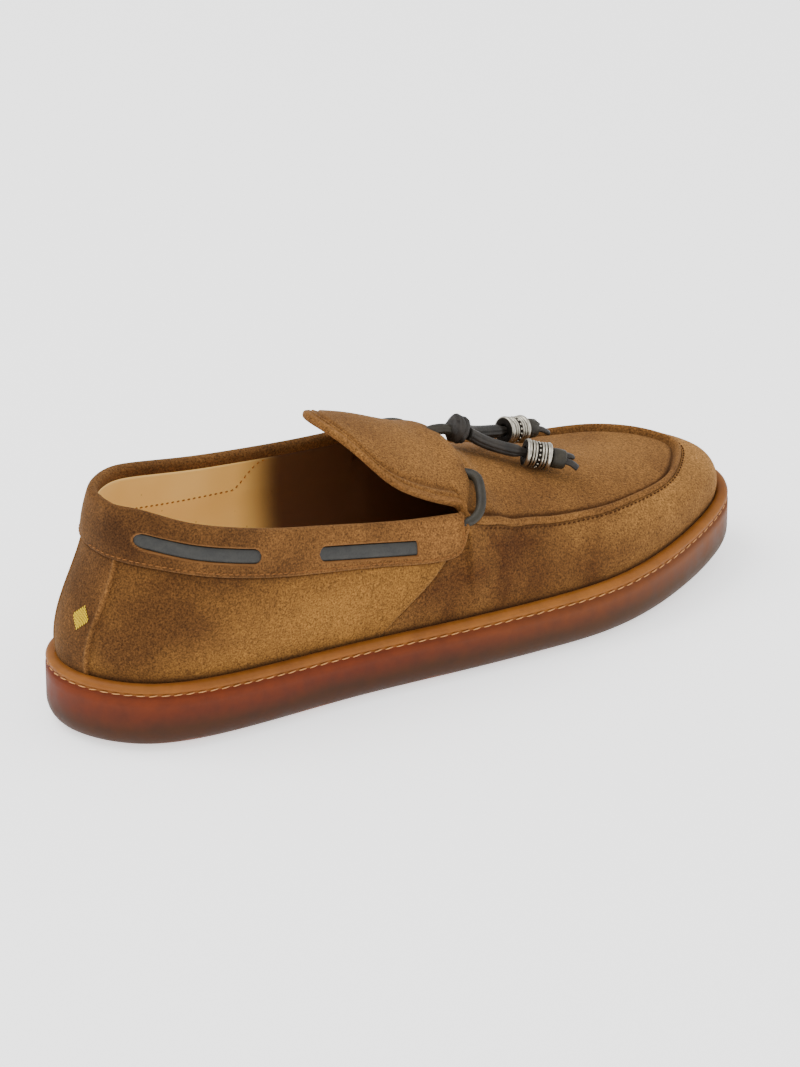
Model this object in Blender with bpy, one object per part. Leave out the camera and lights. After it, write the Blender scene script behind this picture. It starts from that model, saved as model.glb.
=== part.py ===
# A right tassel loafer: gum-rubber cup sole, hollow suede upper with a raised apron seam and
# a stitched collar band, a tongue, an insole, and a leather lace with two metal beads.
# Heel at -X, toe at +X, lateral side at -Y, standing on its flat bottom.
import math

import bpy
import numpy as np

# Driving sizes, in metres
LENGTH = 0.300          # sole, heel to toe
WIDTH = 0.100           # reference for every half-width
RIM_HEIGHT = 0.025      # sole rim above the local bottom
TOE_SPRING = 0.006      # lift of the bottom at the toe
BACK_HEIGHT = 0.090     # collar crest at the heel
INSTEP_HEIGHT = 0.080   # top of the upper at the throat
WALL = 0.0022           # upper: suede and lining together
BAND_STEP = 0.0020      # collar band on the wall
BAND_BULGE = 0.0006     # how far the band's face bows out
CREST_RISE = 0.0022     # rounding over the collar's top
STRIP_STEP = 0.0009     # back strip on the wall
STRIP_WIDTH = 0.0236
LIP_WIDTH = 0.0052      # raised apron seam
LIP_STEP = 0.0019
RIM_WIDTH = 0.0050      # sole's rim beside the upper
SOLE_FLOOR = 0.0130     # rubber under the insole
BOTTOM_ROUND = 0.0090   # rounding of the sole's lower edge
GROOVE_DROP = 0.0036    # stitch groove below the rim's top
GROOVE_DEPTH = 0.0011
INSOLE_THICK = 0.0045
TONGUE_THICK = 0.0032
WINDOW_HALF = 0.00275   # half the height of a lace window in the band
WINDOW_DEPTH = 0.0021
BAR_THICK = 0.0013      # lace strap seen in a window
GAP = 0.0003            # between pieces that touch
FINE = 1600             # points that stand for a smooth curve

# Ways round the upper's wall: 0 at the heel, 1 at the toe
PAIR = 0.0012           # half the distance across a step's edge
LIP_START = 0.012       # from the band's end to where the seam starts to rise

# The bottom is flat from the heel to this share of the length, then curves up
SPRING_FROM = 0.66

# Sole outline
OUTLINE = [
    # place / LENGTH, lateral / WIDTH, medial / WIDTH
    (0.020, 0.188, 0.172),
    (0.080, 0.350, 0.293),
    (0.200, 0.420, 0.353),
    (0.350, 0.434, 0.350),
    (0.500, 0.475, 0.362),
    (0.630, 0.503, 0.435),
    (0.740, 0.497, 0.475),
    (0.850, 0.405, 0.412),
    (0.940, 0.268, 0.298),
    (0.980, 0.158, 0.192),
]
TOE_SIDE = 0.015        # toe tip / WIDTH, towards the medial side

# Rim of the sole
RIM_LINE = [
    # place / LENGTH, height / RIM_HEIGHT
    (0.00, 1.09),
    (0.30, 0.98),
    (0.65, 0.93),
    (1.00, 1.00),
]

# Line on the wall: lower edge of the collar band, then the apron seam
LINE = [
    # place / LENGTH, lateral / WIDTH, medial / WIDTH
    (0.0643, 0.078, 0.078),
    (0.080, 0.174, 0.172),
    (0.098, 0.234, 0.226),
    (0.142, 0.317, 0.295),
    (0.235, 0.368, 0.333),
    (0.310, 0.380, 0.341),
    (0.409, 0.391, 0.352),
    (0.520, 0.396, 0.362),
    (0.600, 0.372, 0.358),
    (0.700, 0.352, 0.350),
    (0.760, 0.330, 0.342),
    (0.843, 0.265, 0.315),
    (0.886, 0.190, 0.268),
    (0.920, 0.085, 0.186),
]
LINE_HEEL = 0.0613      # place of the line's centre at the heel
LINE_TOE = 0.942
LINE_TOE_SIDE = 0.04

# Height of the collar band's lower edge
BAND_FOOT = [
    # place / LENGTH, lateral and medial height / BACK_HEIGHT
    (0.0613, 0.778, 0.778),
    (0.098, 0.765, 0.765),
    (0.142, 0.733, 0.740),
    (0.235, 0.663, 0.690),
    (0.310, 0.622, 0.667),
    (0.409, 0.569, 0.630),
    (0.480, 0.531, 0.600),
    (0.500, 0.537, 0.612),
    (0.5085, 0.560, 0.645),
    (0.515, 0.602, 0.698),
]

# Crest of the collar
COLLAR = [
    # place / LENGTH, lateral / WIDTH, medial / WIDTH, lateral and medial height / BACK_HEIGHT
    (0.0755, 0.078, 0.078, 1.000, 1.000),
    (0.092, 0.150, 0.147, 0.999, 0.999),
    (0.127, 0.255, 0.225, 0.966, 0.985),
    (0.172, 0.312, 0.275, 0.924, 0.950),
    (0.247, 0.330, 0.307, 0.858, 0.895),
    (0.312, 0.340, 0.320, 0.816, 0.862),
    (0.402, 0.350, 0.333, 0.758, 0.827),
    (0.460, 0.358, 0.342, 0.729, 0.810),
    (0.520, 0.368, 0.350, 0.708, 0.795),
]
COLLAR_HEEL = 0.072

# Top of the foot: apron and tongue
TOP = [
    # place / LENGTH, crown / WIDTH, height / INSTEP_HEIGHT, lateral and medial fall / INSTEP_HEIGHT
    (0.350, 0.030, 1.272, 0.235, 0.270),
    (0.373, 0.030, 1.243, 0.235, 0.270),
    (0.400, 0.035, 1.209, 0.237, 0.275),
    (0.450, 0.040, 1.150, 0.237, 0.280),
    (0.500, 0.040, 1.077, 0.240, 0.290),
    (0.533, 0.040, 1.026, 0.250, 0.310),
    (0.553, 0.040, 0.990, 0.250, 0.300),
    (0.569, 0.040, 0.944, 0.240, 0.285),
    (0.590, 0.040, 0.872, 0.222, 0.262),
    (0.613, 0.040, 0.833, 0.200, 0.242),
    (0.650, 0.045, 0.788, 0.180, 0.215),
    (0.700, 0.050, 0.731, 0.154, 0.185),
    (0.753, 0.065, 0.676, 0.120, 0.138),
    (0.800, 0.085, 0.632, 0.084, 0.100),
    (0.843, 0.105, 0.602, 0.062, 0.062),
    (0.893, 0.130, 0.576, 0.042, 0.050),
    (0.937, 0.140, 0.552, 0.037, 0.045),
    (0.970, 0.140, 0.535, 0.037, 0.045),
]
FALL_AT = 0.40          # distance from the crown where the fall is measured, / WIDTH

# Wall between rim and line: angles from upright, in degrees
WALL_SHAPE = [
    # way round, degrees outward at the foot, inward at the line on each side, handle / chord
    (0.00, 8.0, 17.0, 17.0, 0.38),
    (0.15, 8.0, 16.0, 13.0, 0.38),
    (0.35, 6.0, 13.0, 8.0, 0.38),
    (0.50, 5.0, 12.0, 8.0, 0.38),
    (0.56, 5.0, 26.0, 20.0, 0.38),
    (0.70, 6.0, 55.0, 45.0, 0.39),
    (0.85, 12.0, 74.0, 74.0, 0.46),
    (1.00, 15.0, 82.0, 82.0, 0.49),
]

# Throat: where the collar band ends and the apron meets the tongue
CORNER = 0.518          # place / LENGTH
THROAT_BOW = 0.029      # how far the throat line bows forward, / LENGTH
THROAT_POWER = 3.5

# Rear edge of the tongue
TONGUE_EDGE = [
    # place / LENGTH, across / WIDTH
    (0.520, -0.338),
    (0.492, -0.338),
    (0.462, -0.328),
    (0.434, -0.298),
    (0.416, -0.235),
    (0.402, -0.155),
    (0.389, -0.070),
    (0.381, 0.020),
    (0.388, 0.110),
    (0.407, 0.190),
    (0.427, 0.250),
    (0.455, 0.290),
    (0.487, 0.308),
    (0.520, 0.312),
]

# Leather lace, in metres
CORD = 0.0044           # loop at each side of the throat
HOLE_ROOM = 0.0004      # play of the lace in a hole
STRAND = 0.0038         # each hanging end, and the lace out of the middle hole
BEAD_LENGTH = 0.0100
BEAD_START = 0.0010     # straight lace in front of a bead
BEAD_DIAMETER = 0.0110
KNOT_LENGTH = 0.0084
KNOT_LEAD = 0.0006      # straight lace at each face of the knot
KNOT_DIAMETER = 0.0086
TIP_LENGTH = 0.0070
TIP_DIAMETER = 0.0078

# Holes in the upper's edge
HOLES = {
    # place / LENGTH, across / WIDTH
    "lateral": (0.5690, -0.205),
    "middle": (0.5650, 0.036),
    "medial": (0.5690, 0.237),
}

# Loops from the band's ends to their holes
LOOPS = {
    # place / LENGTH, across / WIDTH, lift of the lace's middle off the upper / CORD
    "lateral": [
        (0.5245, -0.415, 0.60),
        (0.5340, -0.405, 0.78),
        (0.5450, -0.378, 1.02),
        (0.5550, -0.330, 0.86),
        (0.5620, -0.285, 0.76),
        (0.5668, -0.238, 0.82),
        (0.5686, -0.216, 0.62),
    ],
    "medial": [
        (0.5245, 0.392, 0.58),
        (0.5340, 0.388, 0.72),
        (0.5450, 0.370, 1.00),
        (0.5550, 0.335, 0.88),
        (0.5620, 0.300, 0.78),
        (0.5668, 0.270, 0.82),
        (0.5686, 0.246, 0.62),
    ],
}

# Lace out of the middle hole and its two ends, chosen by hand, in metres:
# from the heel, from the middle line and from the floor
STUB = [
    # place / LENGTH, across / WIDTH, lift / CORD: forwards out of the middle hole
    (0.5652, 0.0348, 0.797),
    (0.5659, 0.0335, 0.946),
    (0.5669, 0.0322, 1.073),
    (0.5682, 0.0310, 1.168),
    (0.5696, 0.0297, 1.226),
]
ENDS = {
    # place / LENGTH, across / WIDTH, lift / CORD: from the knot to the bead
    "near": [
        (0.6033, 0.0115, 1.567),
        (0.6217, -0.0129, 1.244),
        (0.6449, -0.0427, 1.148),
        (0.6655, -0.0680, 1.244),
    ],
    "far": [
        (0.6030, 0.0482, 1.592),
        (0.6210, 0.0591, 1.405),
        (0.6469, 0.0721, 1.445),
        (0.6700, 0.0811, 1.562),
    ],
}

# Turned pieces on the lace
KNOT_PROFILE = [
    # share of the length, share of the radius
    (0.00, 0.60),
    (0.12, 0.88),
    (0.32, 1.00),
    (0.68, 1.00),
    (0.88, 0.90),
    (1.00, 0.66),
]
BEAD_PROFILE = [
    # share of the length, share of the radius: a rim at each end and two grooves
    (0.00, 0.84),
    (0.07, 1.00),
    (0.17, 1.00),
    (0.22, 0.86),
    (0.34, 0.86),
    (0.38, 0.97),
    (0.62, 0.97),
    (0.66, 0.86),
    (0.78, 0.86),
    (0.83, 1.00),
    (0.93, 1.00),
    (1.00, 0.84),
]
TIP_PROFILE = [
    # share of the length, share of the radius
    (0.00, 0.90),
    (0.10, 1.00),
    (0.86, 1.00),
    (1.00, 0.86),
]

# Lace windows in the band: shares of the band's length, place in its height, front end square
WINDOWS = {
    "rear": (0.045, 0.347, 0.53, 0.51, False),
    "front": (0.527, 0.832, 0.48, 0.44, True),
}

SIDES = ("lateral", "medial")

LOOKS = {
    # colour, roughness, metallic
    "gum": ((0.110, 0.052, 0.024), 0.45, 0.0),
    "suede": ((0.290, 0.150, 0.045), 0.95, 0.0),
    "lining": ((0.560, 0.330, 0.115), 0.60, 0.0),
    "lace": ((0.046, 0.046, 0.040), 0.50, 0.0),
    "metal": ((0.360, 0.330, 0.270), 0.35, 1.0),
}


def spline(knots, values, closed=False):
    # Cubic curve through the values, with even bending where it closes
    knots = np.asarray(knots, float)
    values = np.asarray(values, float).reshape(len(knots), -1)
    step = np.diff(knots)
    slope = np.diff(values, axis=0) / step[:, None]
    count = len(knots)
    matrix = np.eye(count)
    right = np.zeros_like(values)
    for i in range(1, count - 1):
        matrix[i, i - 1:i + 2] = step[i - 1], 2 * (step[i - 1] + step[i]), step[i]
        right[i] = 6 * (slope[i] - slope[i - 1])
    if closed:
        matrix[0, -1] = -1
        matrix[-1, :2] = 2 * step[0], step[0]
        matrix[-1, -2:] = step[-1], 2 * step[-1]
        right[-1] = 6 * (slope[0] - slope[-1])
    bend = np.linalg.solve(matrix, right)

    def at(places):
        places = np.clip(np.atleast_1d(places), knots[0], knots[-1])
        i = np.clip(np.searchsorted(knots, places, side="right") - 1, 0, count - 2)
        span = step[i][:, None]
        ahead = (knots[i + 1] - places)[:, None]
        behind = (places - knots[i])[:, None]
        cubic = (bend[i] * ahead**3 + bend[i + 1] * behind**3) / (6 * span)
        start = (values[i] / span - bend[i] * span / 6) * ahead
        end = (values[i + 1] / span - bend[i + 1] * span / 6) * behind
        return cubic + start + end

    return at


def through(points, count, closed=False):
    # Evenly spread points on a smooth curve through the given ones
    points = np.asarray(points, float)
    if closed:
        points = np.vstack([points, points[:1]])
    chords = np.linalg.norm(np.diff(points, axis=0), axis=1)
    knots = np.concatenate([[0], np.cumsum(np.sqrt(chords))])
    curve = spline(knots, points, closed)
    return curve(np.linspace(0, knots[-1], count, endpoint=not closed))


def column(table, index):
    return np.array([row[index] for row in table])


def profile(table, index):
    # One named column of a table as a function of the place along the shoe
    curve = spline(column(table, 0), column(table, index))
    return lambda place: curve(place)[:, 0]


def outline_loop():
    rows = [(0, 0)]
    rows += [(place, -lateral) for place, lateral, medial in OUTLINE]
    rows += [(1, TOE_SIDE)]
    rows += [(place, medial) for place, lateral, medial in reversed(OUTLINE)]
    loop = through([(place * LENGTH, side * WIDTH) for place, side in rows], FINE, True)
    loop[:, 0] = (loop[:, 0] - loop[:, 0].min()) / np.ptp(loop[:, 0]) * LENGTH
    return loop


def outward(loop):
    # Level unit vectors pointing out of a closed plan curve
    along = np.roll(loop, -1, axis=0) - np.roll(loop, 1, axis=0)
    normal = np.stack([along[:, 1], -along[:, 0]], axis=1)
    return normal / np.linalg.norm(normal, axis=1)[:, None]


def halves(loop):
    # The lateral and the medial half of a plan curve, heel to toe, each with the way along it:
    # 0 at the heel, 1 at the toe, eased so that the round ends are as smooth as the sides
    loop = np.roll(loop, -int(loop[:, 0].argmin()), axis=0)
    toe = int(loop[:, 0].argmax())
    result = []
    for half in (loop[:toe + 1], np.vstack([loop[:1], loop[toe:][::-1]])):
        share = (half[:, 0] - half[0, 0]) / (half[-1, 0] - half[0, 0])
        result.append((np.arccos(np.clip(1 - 2 * share, -1, 1)) / math.pi, half))
    return result


def ring(loop, ways):
    # Points on the curve at the given ways: heel, lateral side, toe, medial side
    lateral, medial = [
        np.stack([np.interp(ways, way, half[:, axis]) for axis in (0, 1)], axis=1)
        for way, half in halves(loop)
    ]
    return np.vstack([lateral, medial[-2:0:-1]])


def inset_ring(inset, ways):
    return ring(SOLE_LOOP - SOLE_OUT * inset, ways)


def bottom_height(x):
    rise = np.clip((x / LENGTH - SPRING_FROM) / (1 - SPRING_FROM), 0, None)
    return TOE_SPRING * rise**2


def rim_height(x):
    return bottom_height(x) + RIM_HEIGHT * profile(RIM_LINE, 1)(x / LENGTH)


def with_height(plan, height):
    return np.column_stack([plan, height])


def top_height(x, y):
    place = x / LENGTH
    crown = profile(TOP, 1)(place) * WIDTH
    away = (y - crown) / (FALL_AT * WIDTH)
    fall = np.where(away < 0, profile(TOP, 3)(place), profile(TOP, 4)(place))
    return INSTEP_HEIGHT * (profile(TOP, 2)(place) - fall * away**2)


SOLE_LOOP = outline_loop()
SOLE_OUT = outward(SOLE_LOOP)


def build_mesh(name, points, faces):
    mesh = bpy.data.meshes.new(name)
    centre = (SOLE_LOOP[:, 1].max() + SOLE_LOOP[:, 1].min()) / 2
    moved = np.asarray(points) - [LENGTH / 2, centre, 0]
    mesh.from_pydata(moved.tolist(), [], faces)
    mesh.validate()
    piece = bpy.data.objects.new(name, mesh)
    bpy.context.scene.collection.objects.link(piece)
    mesh.shade_smooth()
    mesh.set_sharp_from_angle(angle=math.radians(35))
    return piece


def band_faces(rows, columns, start=0, flip=False):
    # Quads between closed rings that lie one after another
    faces = []
    for row in range(rows - 1):
        for k in range(columns):
            a = start + row * columns + k
            b = start + row * columns + (k + 1) % columns
            face = (a, b, b + columns, a + columns)
            faces.append(face[::-1] if flip else face)
    return faces


def cap_faces(columns, start, up):
    # Strips from the lateral to the medial side that close a ring
    half = columns // 2
    faces = []
    for k in range(half):
        near, far = start + k, start + (columns - k) % columns
        near_next, far_next = start + k + 1, start + columns - k - 1
        face = [near, near_next, far_next, far]
        face = list(dict.fromkeys(face))
        faces.append(face if up else face[::-1])
    return faces


def way_of(place):
    # The way round the wall at which the line has this place along the shoe
    share = (place - LINE_HEEL) / (LINE_TOE - LINE_HEEL)
    return math.acos(1 - 2 * share) / math.pi


def line_loop():
    rows = [(LINE_HEEL, 0)]
    rows += [(place, -lateral) for place, lateral, medial in LINE]
    rows += [(LINE_TOE, LINE_TOE_SIDE)]
    rows += [(place, medial) for place, lateral, medial in reversed(LINE)]
    loop = through([(place * LENGTH, side * WIDTH) for place, side in rows], FINE, True)
    share = (loop[:, 0] - loop[:, 0].min()) / np.ptp(loop[:, 0])
    loop[:, 0] = (LINE_HEEL + share * (LINE_TOE - LINE_HEEL)) * LENGTH
    return loop


def collar_halves():
    # Crest of the collar from the heel to each front corner, with the share of its length
    rows = [(row[0], -row[1], row[3]) for row in reversed(COLLAR)]
    rows += [(COLLAR_HEEL, 0, COLLAR[0][3])]
    rows += [(row[0], row[2], row[4]) for row in COLLAR]
    size = [LENGTH, WIDTH, BACK_HEIGHT]
    crest = through([np.multiply(row, size) for row in rows], FINE)
    heel = int(crest[:, 0].argmin())
    result = []
    for half in (crest[:heel + 1][::-1], crest[heel:]):
        share = (half[:, 0] - half[0, 0]) / (half[-1, 0] - half[0, 0])
        result.append((np.sqrt(np.clip(share, 0, 1)), half))
    return result


def throat_x(y):
    corners = [half[-1, 1] for share, half in COLLAR_HALVES]
    reach = np.where(y < 0, y / corners[0], y / corners[1])
    return LENGTH * (CORNER + THROAT_BOW * (1 - np.clip(reach, 0, 1)**THROAT_POWER))


def unit(vectors):
    return vectors / np.linalg.norm(vectors, axis=-1, keepdims=True)


class Shell:
    # Key lines of the upper at the given ways round, heel, lateral side, toe, medial side
    def __init__(self, ways):
        count = len(ways)
        self.way = np.concatenate([ways, ways[-2:0:-1]])
        self.medial = np.arange(len(self.way)) >= count
        seat = inset_ring(RIM_WIDTH + GAP, ways)
        self.foot = with_height(seat, bottom_height(seat[:, 0]) + SOLE_FLOOR + GAP)
        self.rim = with_height(seat, rim_height(seat[:, 0]))
        line = ring(LINE_LOOP, ways)
        self.line = with_height(line, self.line_height(line))
        self.front = self.way > way_of(CORNER)
        self.set_edge()
        self.set_directions()

    def line_height(self, line):
        place = line[:, 0] / LENGTH
        band = np.where(self.medial, profile(BAND_FOOT, 2)(place), profile(BAND_FOOT, 1)(place))
        top = top_height(line[:, 0], line[:, 1])
        blend = np.clip((place - BAND_FOOT[-1][0]) / (CORNER - BAND_FOOT[-1][0]), 0, 1)
        return band * BACK_HEIGHT * (1 - blend) + top * blend

    def set_edge(self):
        share = (self.line[:, 0] / LENGTH - LINE_HEEL) / (CORNER - LINE_HEEL)
        share = np.sqrt(np.clip(share, 0, 1))
        crest = [
            np.stack([np.interp(share, mark, half[:, axis]) for axis in range(3)], axis=1)
            for mark, half in COLLAR_HALVES
        ]
        collar = np.where(self.medial[:, None], crest[1], crest[0])
        rise = unit(collar - self.line) * CREST_RISE
        inward = np.clip((self.way - way_of(CORNER)) / (1 - way_of(CORNER)), 0, 1)
        corner = np.where(self.medial, COLLAR_HALVES[1][1][-1, 1], COLLAR_HALVES[0][1][-1, 1])
        y = corner * (1 - inward)
        x = throat_x(y) + GAP
        throat = np.column_stack([x, y, top_height(x, y)])
        self.edge = np.where(self.front[:, None], throat, collar - rise)

    def set_directions(self):
        ahead = np.roll(self.line, -1, axis=0) - np.roll(self.line, 1, axis=0)
        self.out = unit(np.column_stack([ahead[:, 1], -ahead[:, 0], 0 * ahead[:, 0]]))
        foot_ahead = np.roll(self.rim, -1, axis=0) - np.roll(self.rim, 1, axis=0)
        flat = np.column_stack([foot_ahead[:, 1], -foot_ahead[:, 0], 0 * foot_ahead[:, 0]])
        self.foot_out = unit(flat)

    def wall(self, share):
        # Wall between the sole's rim (share 0) and the line (share 1)
        lean = [np.radians(profile(WALL_SHAPE, i)(self.way)) for i in (1, 2, 3)]
        handle = profile(WALL_SHAPE, 4)(self.way)[:, None]
        top_lean = np.where(self.medial, lean[2], lean[1])
        up = np.array([0, 0, 1])
        start = self.foot_out * np.sin(lean[0])[:, None] + up * np.cos(lean[0])[:, None]
        end = -self.out * np.sin(top_lean)[:, None] + up * np.cos(top_lean)[:, None]
        chord = np.linalg.norm(self.line - self.rim, axis=1)[:, None] * handle
        points = [self.rim, self.rim + start * chord, self.line - end * chord, self.line]
        rest = 1 - share
        weights = [rest**3, 3 * rest**2 * share, 3 * rest * share**2, share**3]
        return sum(point * weight for point, weight in zip(points, weights))

    def above(self, share):
        # Band face or apron between the line (share 0) and the upper's edge (share 1)
        share = np.broadcast_to(share, self.way.shape)[:, None]
        straight = self.line + (self.edge - self.line) * share
        band = straight + self.out * BAND_BULGE * 4 * share * (1 - share)
        lift = top_height(straight[:, 0], straight[:, 1])
        apron = np.column_stack([straight[:, 0], straight[:, 1], lift])
        return np.where(self.front[:, None], apron, band)

    def lip_shares(self):
        # Shares above the line: two on the lip, one just past it, then four to the edge
        length = np.linalg.norm(self.edge - self.line, axis=1)
        marks = [0.35 * LIP_WIDTH, 0.85 * LIP_WIDTH, 1.05 * LIP_WIDTH]
        shares = [np.minimum(mark / length, limit) for mark, limit in zip(marks, (0.3, 0.6, 0.75))]
        last = shares[-1]
        return shares + [last + (1 - last) * step / 4 for step in (1, 2, 3, 4)]


def grid_normals(grid):
    around = np.roll(grid, -1, axis=1) - np.roll(grid, 1, axis=1)
    upward = np.gradient(grid, axis=0)
    return unit(np.cross(around, upward))


COLLAR_HALVES = collar_halves()
LINE_LOOP = line_loop()

# The pieces
def dress(piece, look):
    colour, roughness, metallic = LOOKS[look]
    shader = bpy.data.materials.new(piece.name + " " + look)
    shader.use_nodes = True
    surface = shader.node_tree.nodes["Principled BSDF"]
    surface.inputs["Base Color"].default_value = (*colour, 1)
    surface.inputs["Roughness"].default_value = roughness
    surface.inputs["Metallic"].default_value = metallic
    shader.diffuse_color = (*colour, 1)
    piece.data.materials.append(shader)


def add_cutter(piece, cutter):
    cutter.hide_render = True
    cutter.display_type = "WIRE"
    cut = piece.modifiers.new("cut " + cutter.name, "BOOLEAN")
    cut.operation = "DIFFERENCE"
    cut.solver = "EXACT"
    cut.object = cutter


def make_sole(ways):
    # Rings from the flat bottom out over the side and the rim, then down into the cup
    rings = []

    def add(inset, height_of):
        plan = inset_ring(inset, ways)
        rings.append(with_height(plan, height_of(plan[:, 0])))

    for degrees in (90, 65, 42, 20, 0):
        angle = math.radians(degrees)
        inset = BOTTOM_ROUND * (1 - math.cos(angle))
        rise = BOTTOM_ROUND * (1 - math.sin(angle))
        add(inset, lambda x, rise=rise: bottom_height(x) + rise)
    side = [
        # inset, drop below the rim's top
        (0.0000, GROOVE_DROP + GROOVE_DEPTH * 1.4),
        (GROOVE_DEPTH, GROOVE_DROP + GROOVE_DEPTH * 0.4),
        (GROOVE_DEPTH, GROOVE_DROP - GROOVE_DEPTH * 0.4),
        (GROOVE_DEPTH * 0.3, GROOVE_DROP - GROOVE_DEPTH * 1.2),
        (RIM_WIDTH * 0.16, RIM_WIDTH * 0.13),
        (RIM_WIDTH * 0.36, 0.0),
        (RIM_WIDTH * 0.86, 0.0),
        (RIM_WIDTH, RIM_WIDTH * 0.10),
    ]
    for inset, drop in side:
        add(inset, lambda x, drop=drop: rim_height(x) - drop)
    add(RIM_WIDTH, lambda x: bottom_height(x) + SOLE_FLOOR)
    columns = len(rings[0])
    faces = band_faces(len(rings), columns)
    faces += cap_faces(columns, 0, up=False)
    faces += cap_faces(columns, (len(rings) - 1) * columns, up=True)
    dress(build_mesh("sole", np.vstack(rings), faces), "gum")


def make_insole(ways):
    inset = RIM_WIDTH + GAP + WALL + GAP
    levels = [(0, GAP), (0, INSOLE_THICK * 0.75), (INSOLE_THICK * 0.25, GAP + INSOLE_THICK)]
    rings = []
    for more, rise in levels:
        plan = inset_ring(inset + more, ways)
        rings.append(with_height(plan, bottom_height(plan[:, 0]) + SOLE_FLOOR + rise))
    columns = len(rings[0])
    faces = band_faces(len(rings), columns)
    faces += cap_faces(columns, 0, up=False)
    faces += cap_faces(columns, (len(rings) - 1) * columns, up=True)
    dress(build_mesh("insole", np.vstack(rings), faces), "lining")


def upper_ways():
    # Close pairs stand at the back strip's edge and at the collar band's front end
    seat = halves(SOLE_LOOP - SOLE_OUT * (RIM_WIDTH + GAP))[0]
    early = seat[0] < 0.3
    strip = float(np.interp(STRIP_WIDTH / 2, np.abs(seat[1][early, 1]), seat[0][early]))
    corner = way_of(CORNER)
    rear = np.linspace(strip + PAIR, corner - PAIR, 18)
    front = np.linspace(corner + PAIR, 1, 22)
    return np.concatenate([[0, strip / 2, strip - PAIR], rear, front]), strip


def make_upper():
    ways, strip = upper_ways()
    shell = Shell(ways)
    wall_shares = (0.03, 0.14, 0.3, 0.5, 0.7, 0.87, 0.97, 1.0)
    marks = shell.lip_shares()
    grid = [shell.foot, shell.rim]
    grid += [shell.wall(share) for share in wall_shares]
    grid += [shell.above(share) for share in marks]
    grid = np.array(grid)
    normal = grid_normals(grid)
    line_row = 1 + len(wall_shares)
    rows = np.arange(len(grid))[:, None]
    band = ~shell.front & (rows >= line_row)
    lip_on = np.clip((shell.way - way_of(CORNER) - LIP_START) / LIP_START, 0, 1)
    lip = shell.front & (rows >= line_row) & (rows <= line_row + 2)
    back = (shell.way < strip) & (rows > 1) & (rows < line_row)
    step = band * BAND_STEP + lip * lip_on * LIP_STEP + back * STRIP_STEP
    outer = grid + normal * step[:, :, None]
    inner_rows = [line_row + 7, line_row + 5, line_row + 3, line_row + 1, 7, 5, 3, 1, 0]
    inner = (grid - normal * WALL)[inner_rows]
    inner[-2:, :, 2] = grid[[1, 0], :, 2]
    crest = []
    thick = np.where(shell.front, WALL, BAND_STEP + WALL)
    rise = np.where(shell.front, GAP, CREST_RISE)
    up = unit(shell.edge - shell.line)
    middle = (outer[-1] + inner[0]) / 2
    for degrees in (45, 90, 135):
        angle = math.radians(degrees)
        aside = normal[-1] * (thick / 2 * math.cos(angle))[:, None]
        crest.append(middle + aside + up * (rise * math.sin(angle))[:, None])
    rings = np.concatenate([outer, crest, inner])
    columns = rings.shape[1]
    faces = band_faces(len(rings), columns)
    last = (len(rings) - 1) * columns
    for k in range(columns):
        ahead = (k + 1) % columns
        faces.append((last + k, last + ahead, ahead, k))
    upper = build_mesh("upper", rings.reshape(-1, 3), faces)
    dress(upper, "suede")
    return upper


def band_point(side, share, rise, depth):
    # A point of the collar band: share of its length, of its height, and depth below its face
    way = way_of(LINE_HEEL + share * (CORNER - LINE_HEEL))
    shell = Shell(np.array([0.0, way - PAIR, way, way + PAIR, 1.0]))
    k = 2 if side == "lateral" else len(shell.way) - 2
    face = shell.above(rise)[k]
    up = unit(shell.edge[k] - shell.line[k])
    along = unit(shell.above(rise)[k + 1] - shell.above(rise)[k - 1])
    out = unit(np.cross(along, up))
    return face + out * (BAND_STEP - depth), up


def window_solid(name, side, window, shrink, shallow, deep):
    # A slot's shape along the band, rounded at its ends, between two depths
    start, end, rise_start, rise_end, square_front = WINDOWS[window]
    length = (end - start) * (CORNER - LINE_HEEL) * LENGTH
    half = WINDOW_HALF - shrink
    marks = [0.15, 0.45, 1.0]
    places = [half * (1 - math.cos(math.pi / 2 * mark)) for mark in marks]
    steps = list(np.linspace(half, length - 2 * shrink - half, 8)[1:-1])
    back = [length - 2 * shrink - place for place in reversed(places)]
    heights = [half * math.sin(math.pi / 2 * mark) for mark in marks]
    front = [half] * 3 if square_front else heights[::-1]
    rings = []
    for place, height in zip(places + steps + back, heights + [half] * len(steps) + front):
        done = (place + shrink) / length
        share = start + (end - start) * done
        rise = rise_start + (rise_end - rise_start) * done
        corners = []
        for depth, sign in ((deep, -1), (shallow, -1), (shallow, 1), (deep, 1)):
            point, up = band_point(side, share, rise, depth)
            corners.append(point + up * sign * height)
        rings.append(corners)
    count = len(rings)
    faces = band_faces(count, 4, flip=side == "lateral")
    first, last = (0, 1, 2, 3), tuple(range(4 * count - 4, 4 * count))
    faces += [first, last[::-1]] if side == "lateral" else [first[::-1], last]
    return build_mesh(name, np.array(rings).reshape(-1, 3), faces)


def surface_point(place, across):
    x, y = place * LENGTH, across * WIDTH
    step = 0.0005
    height = top_height(np.array([x, x + step, x]), np.array([y, y, y + step]))
    slope = [(height[1] - height[0]) / step, (height[2] - height[0]) / step]
    return np.array([x, y, height[0]]), unit(np.array([-slope[0], -slope[1], 1.0]))


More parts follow.
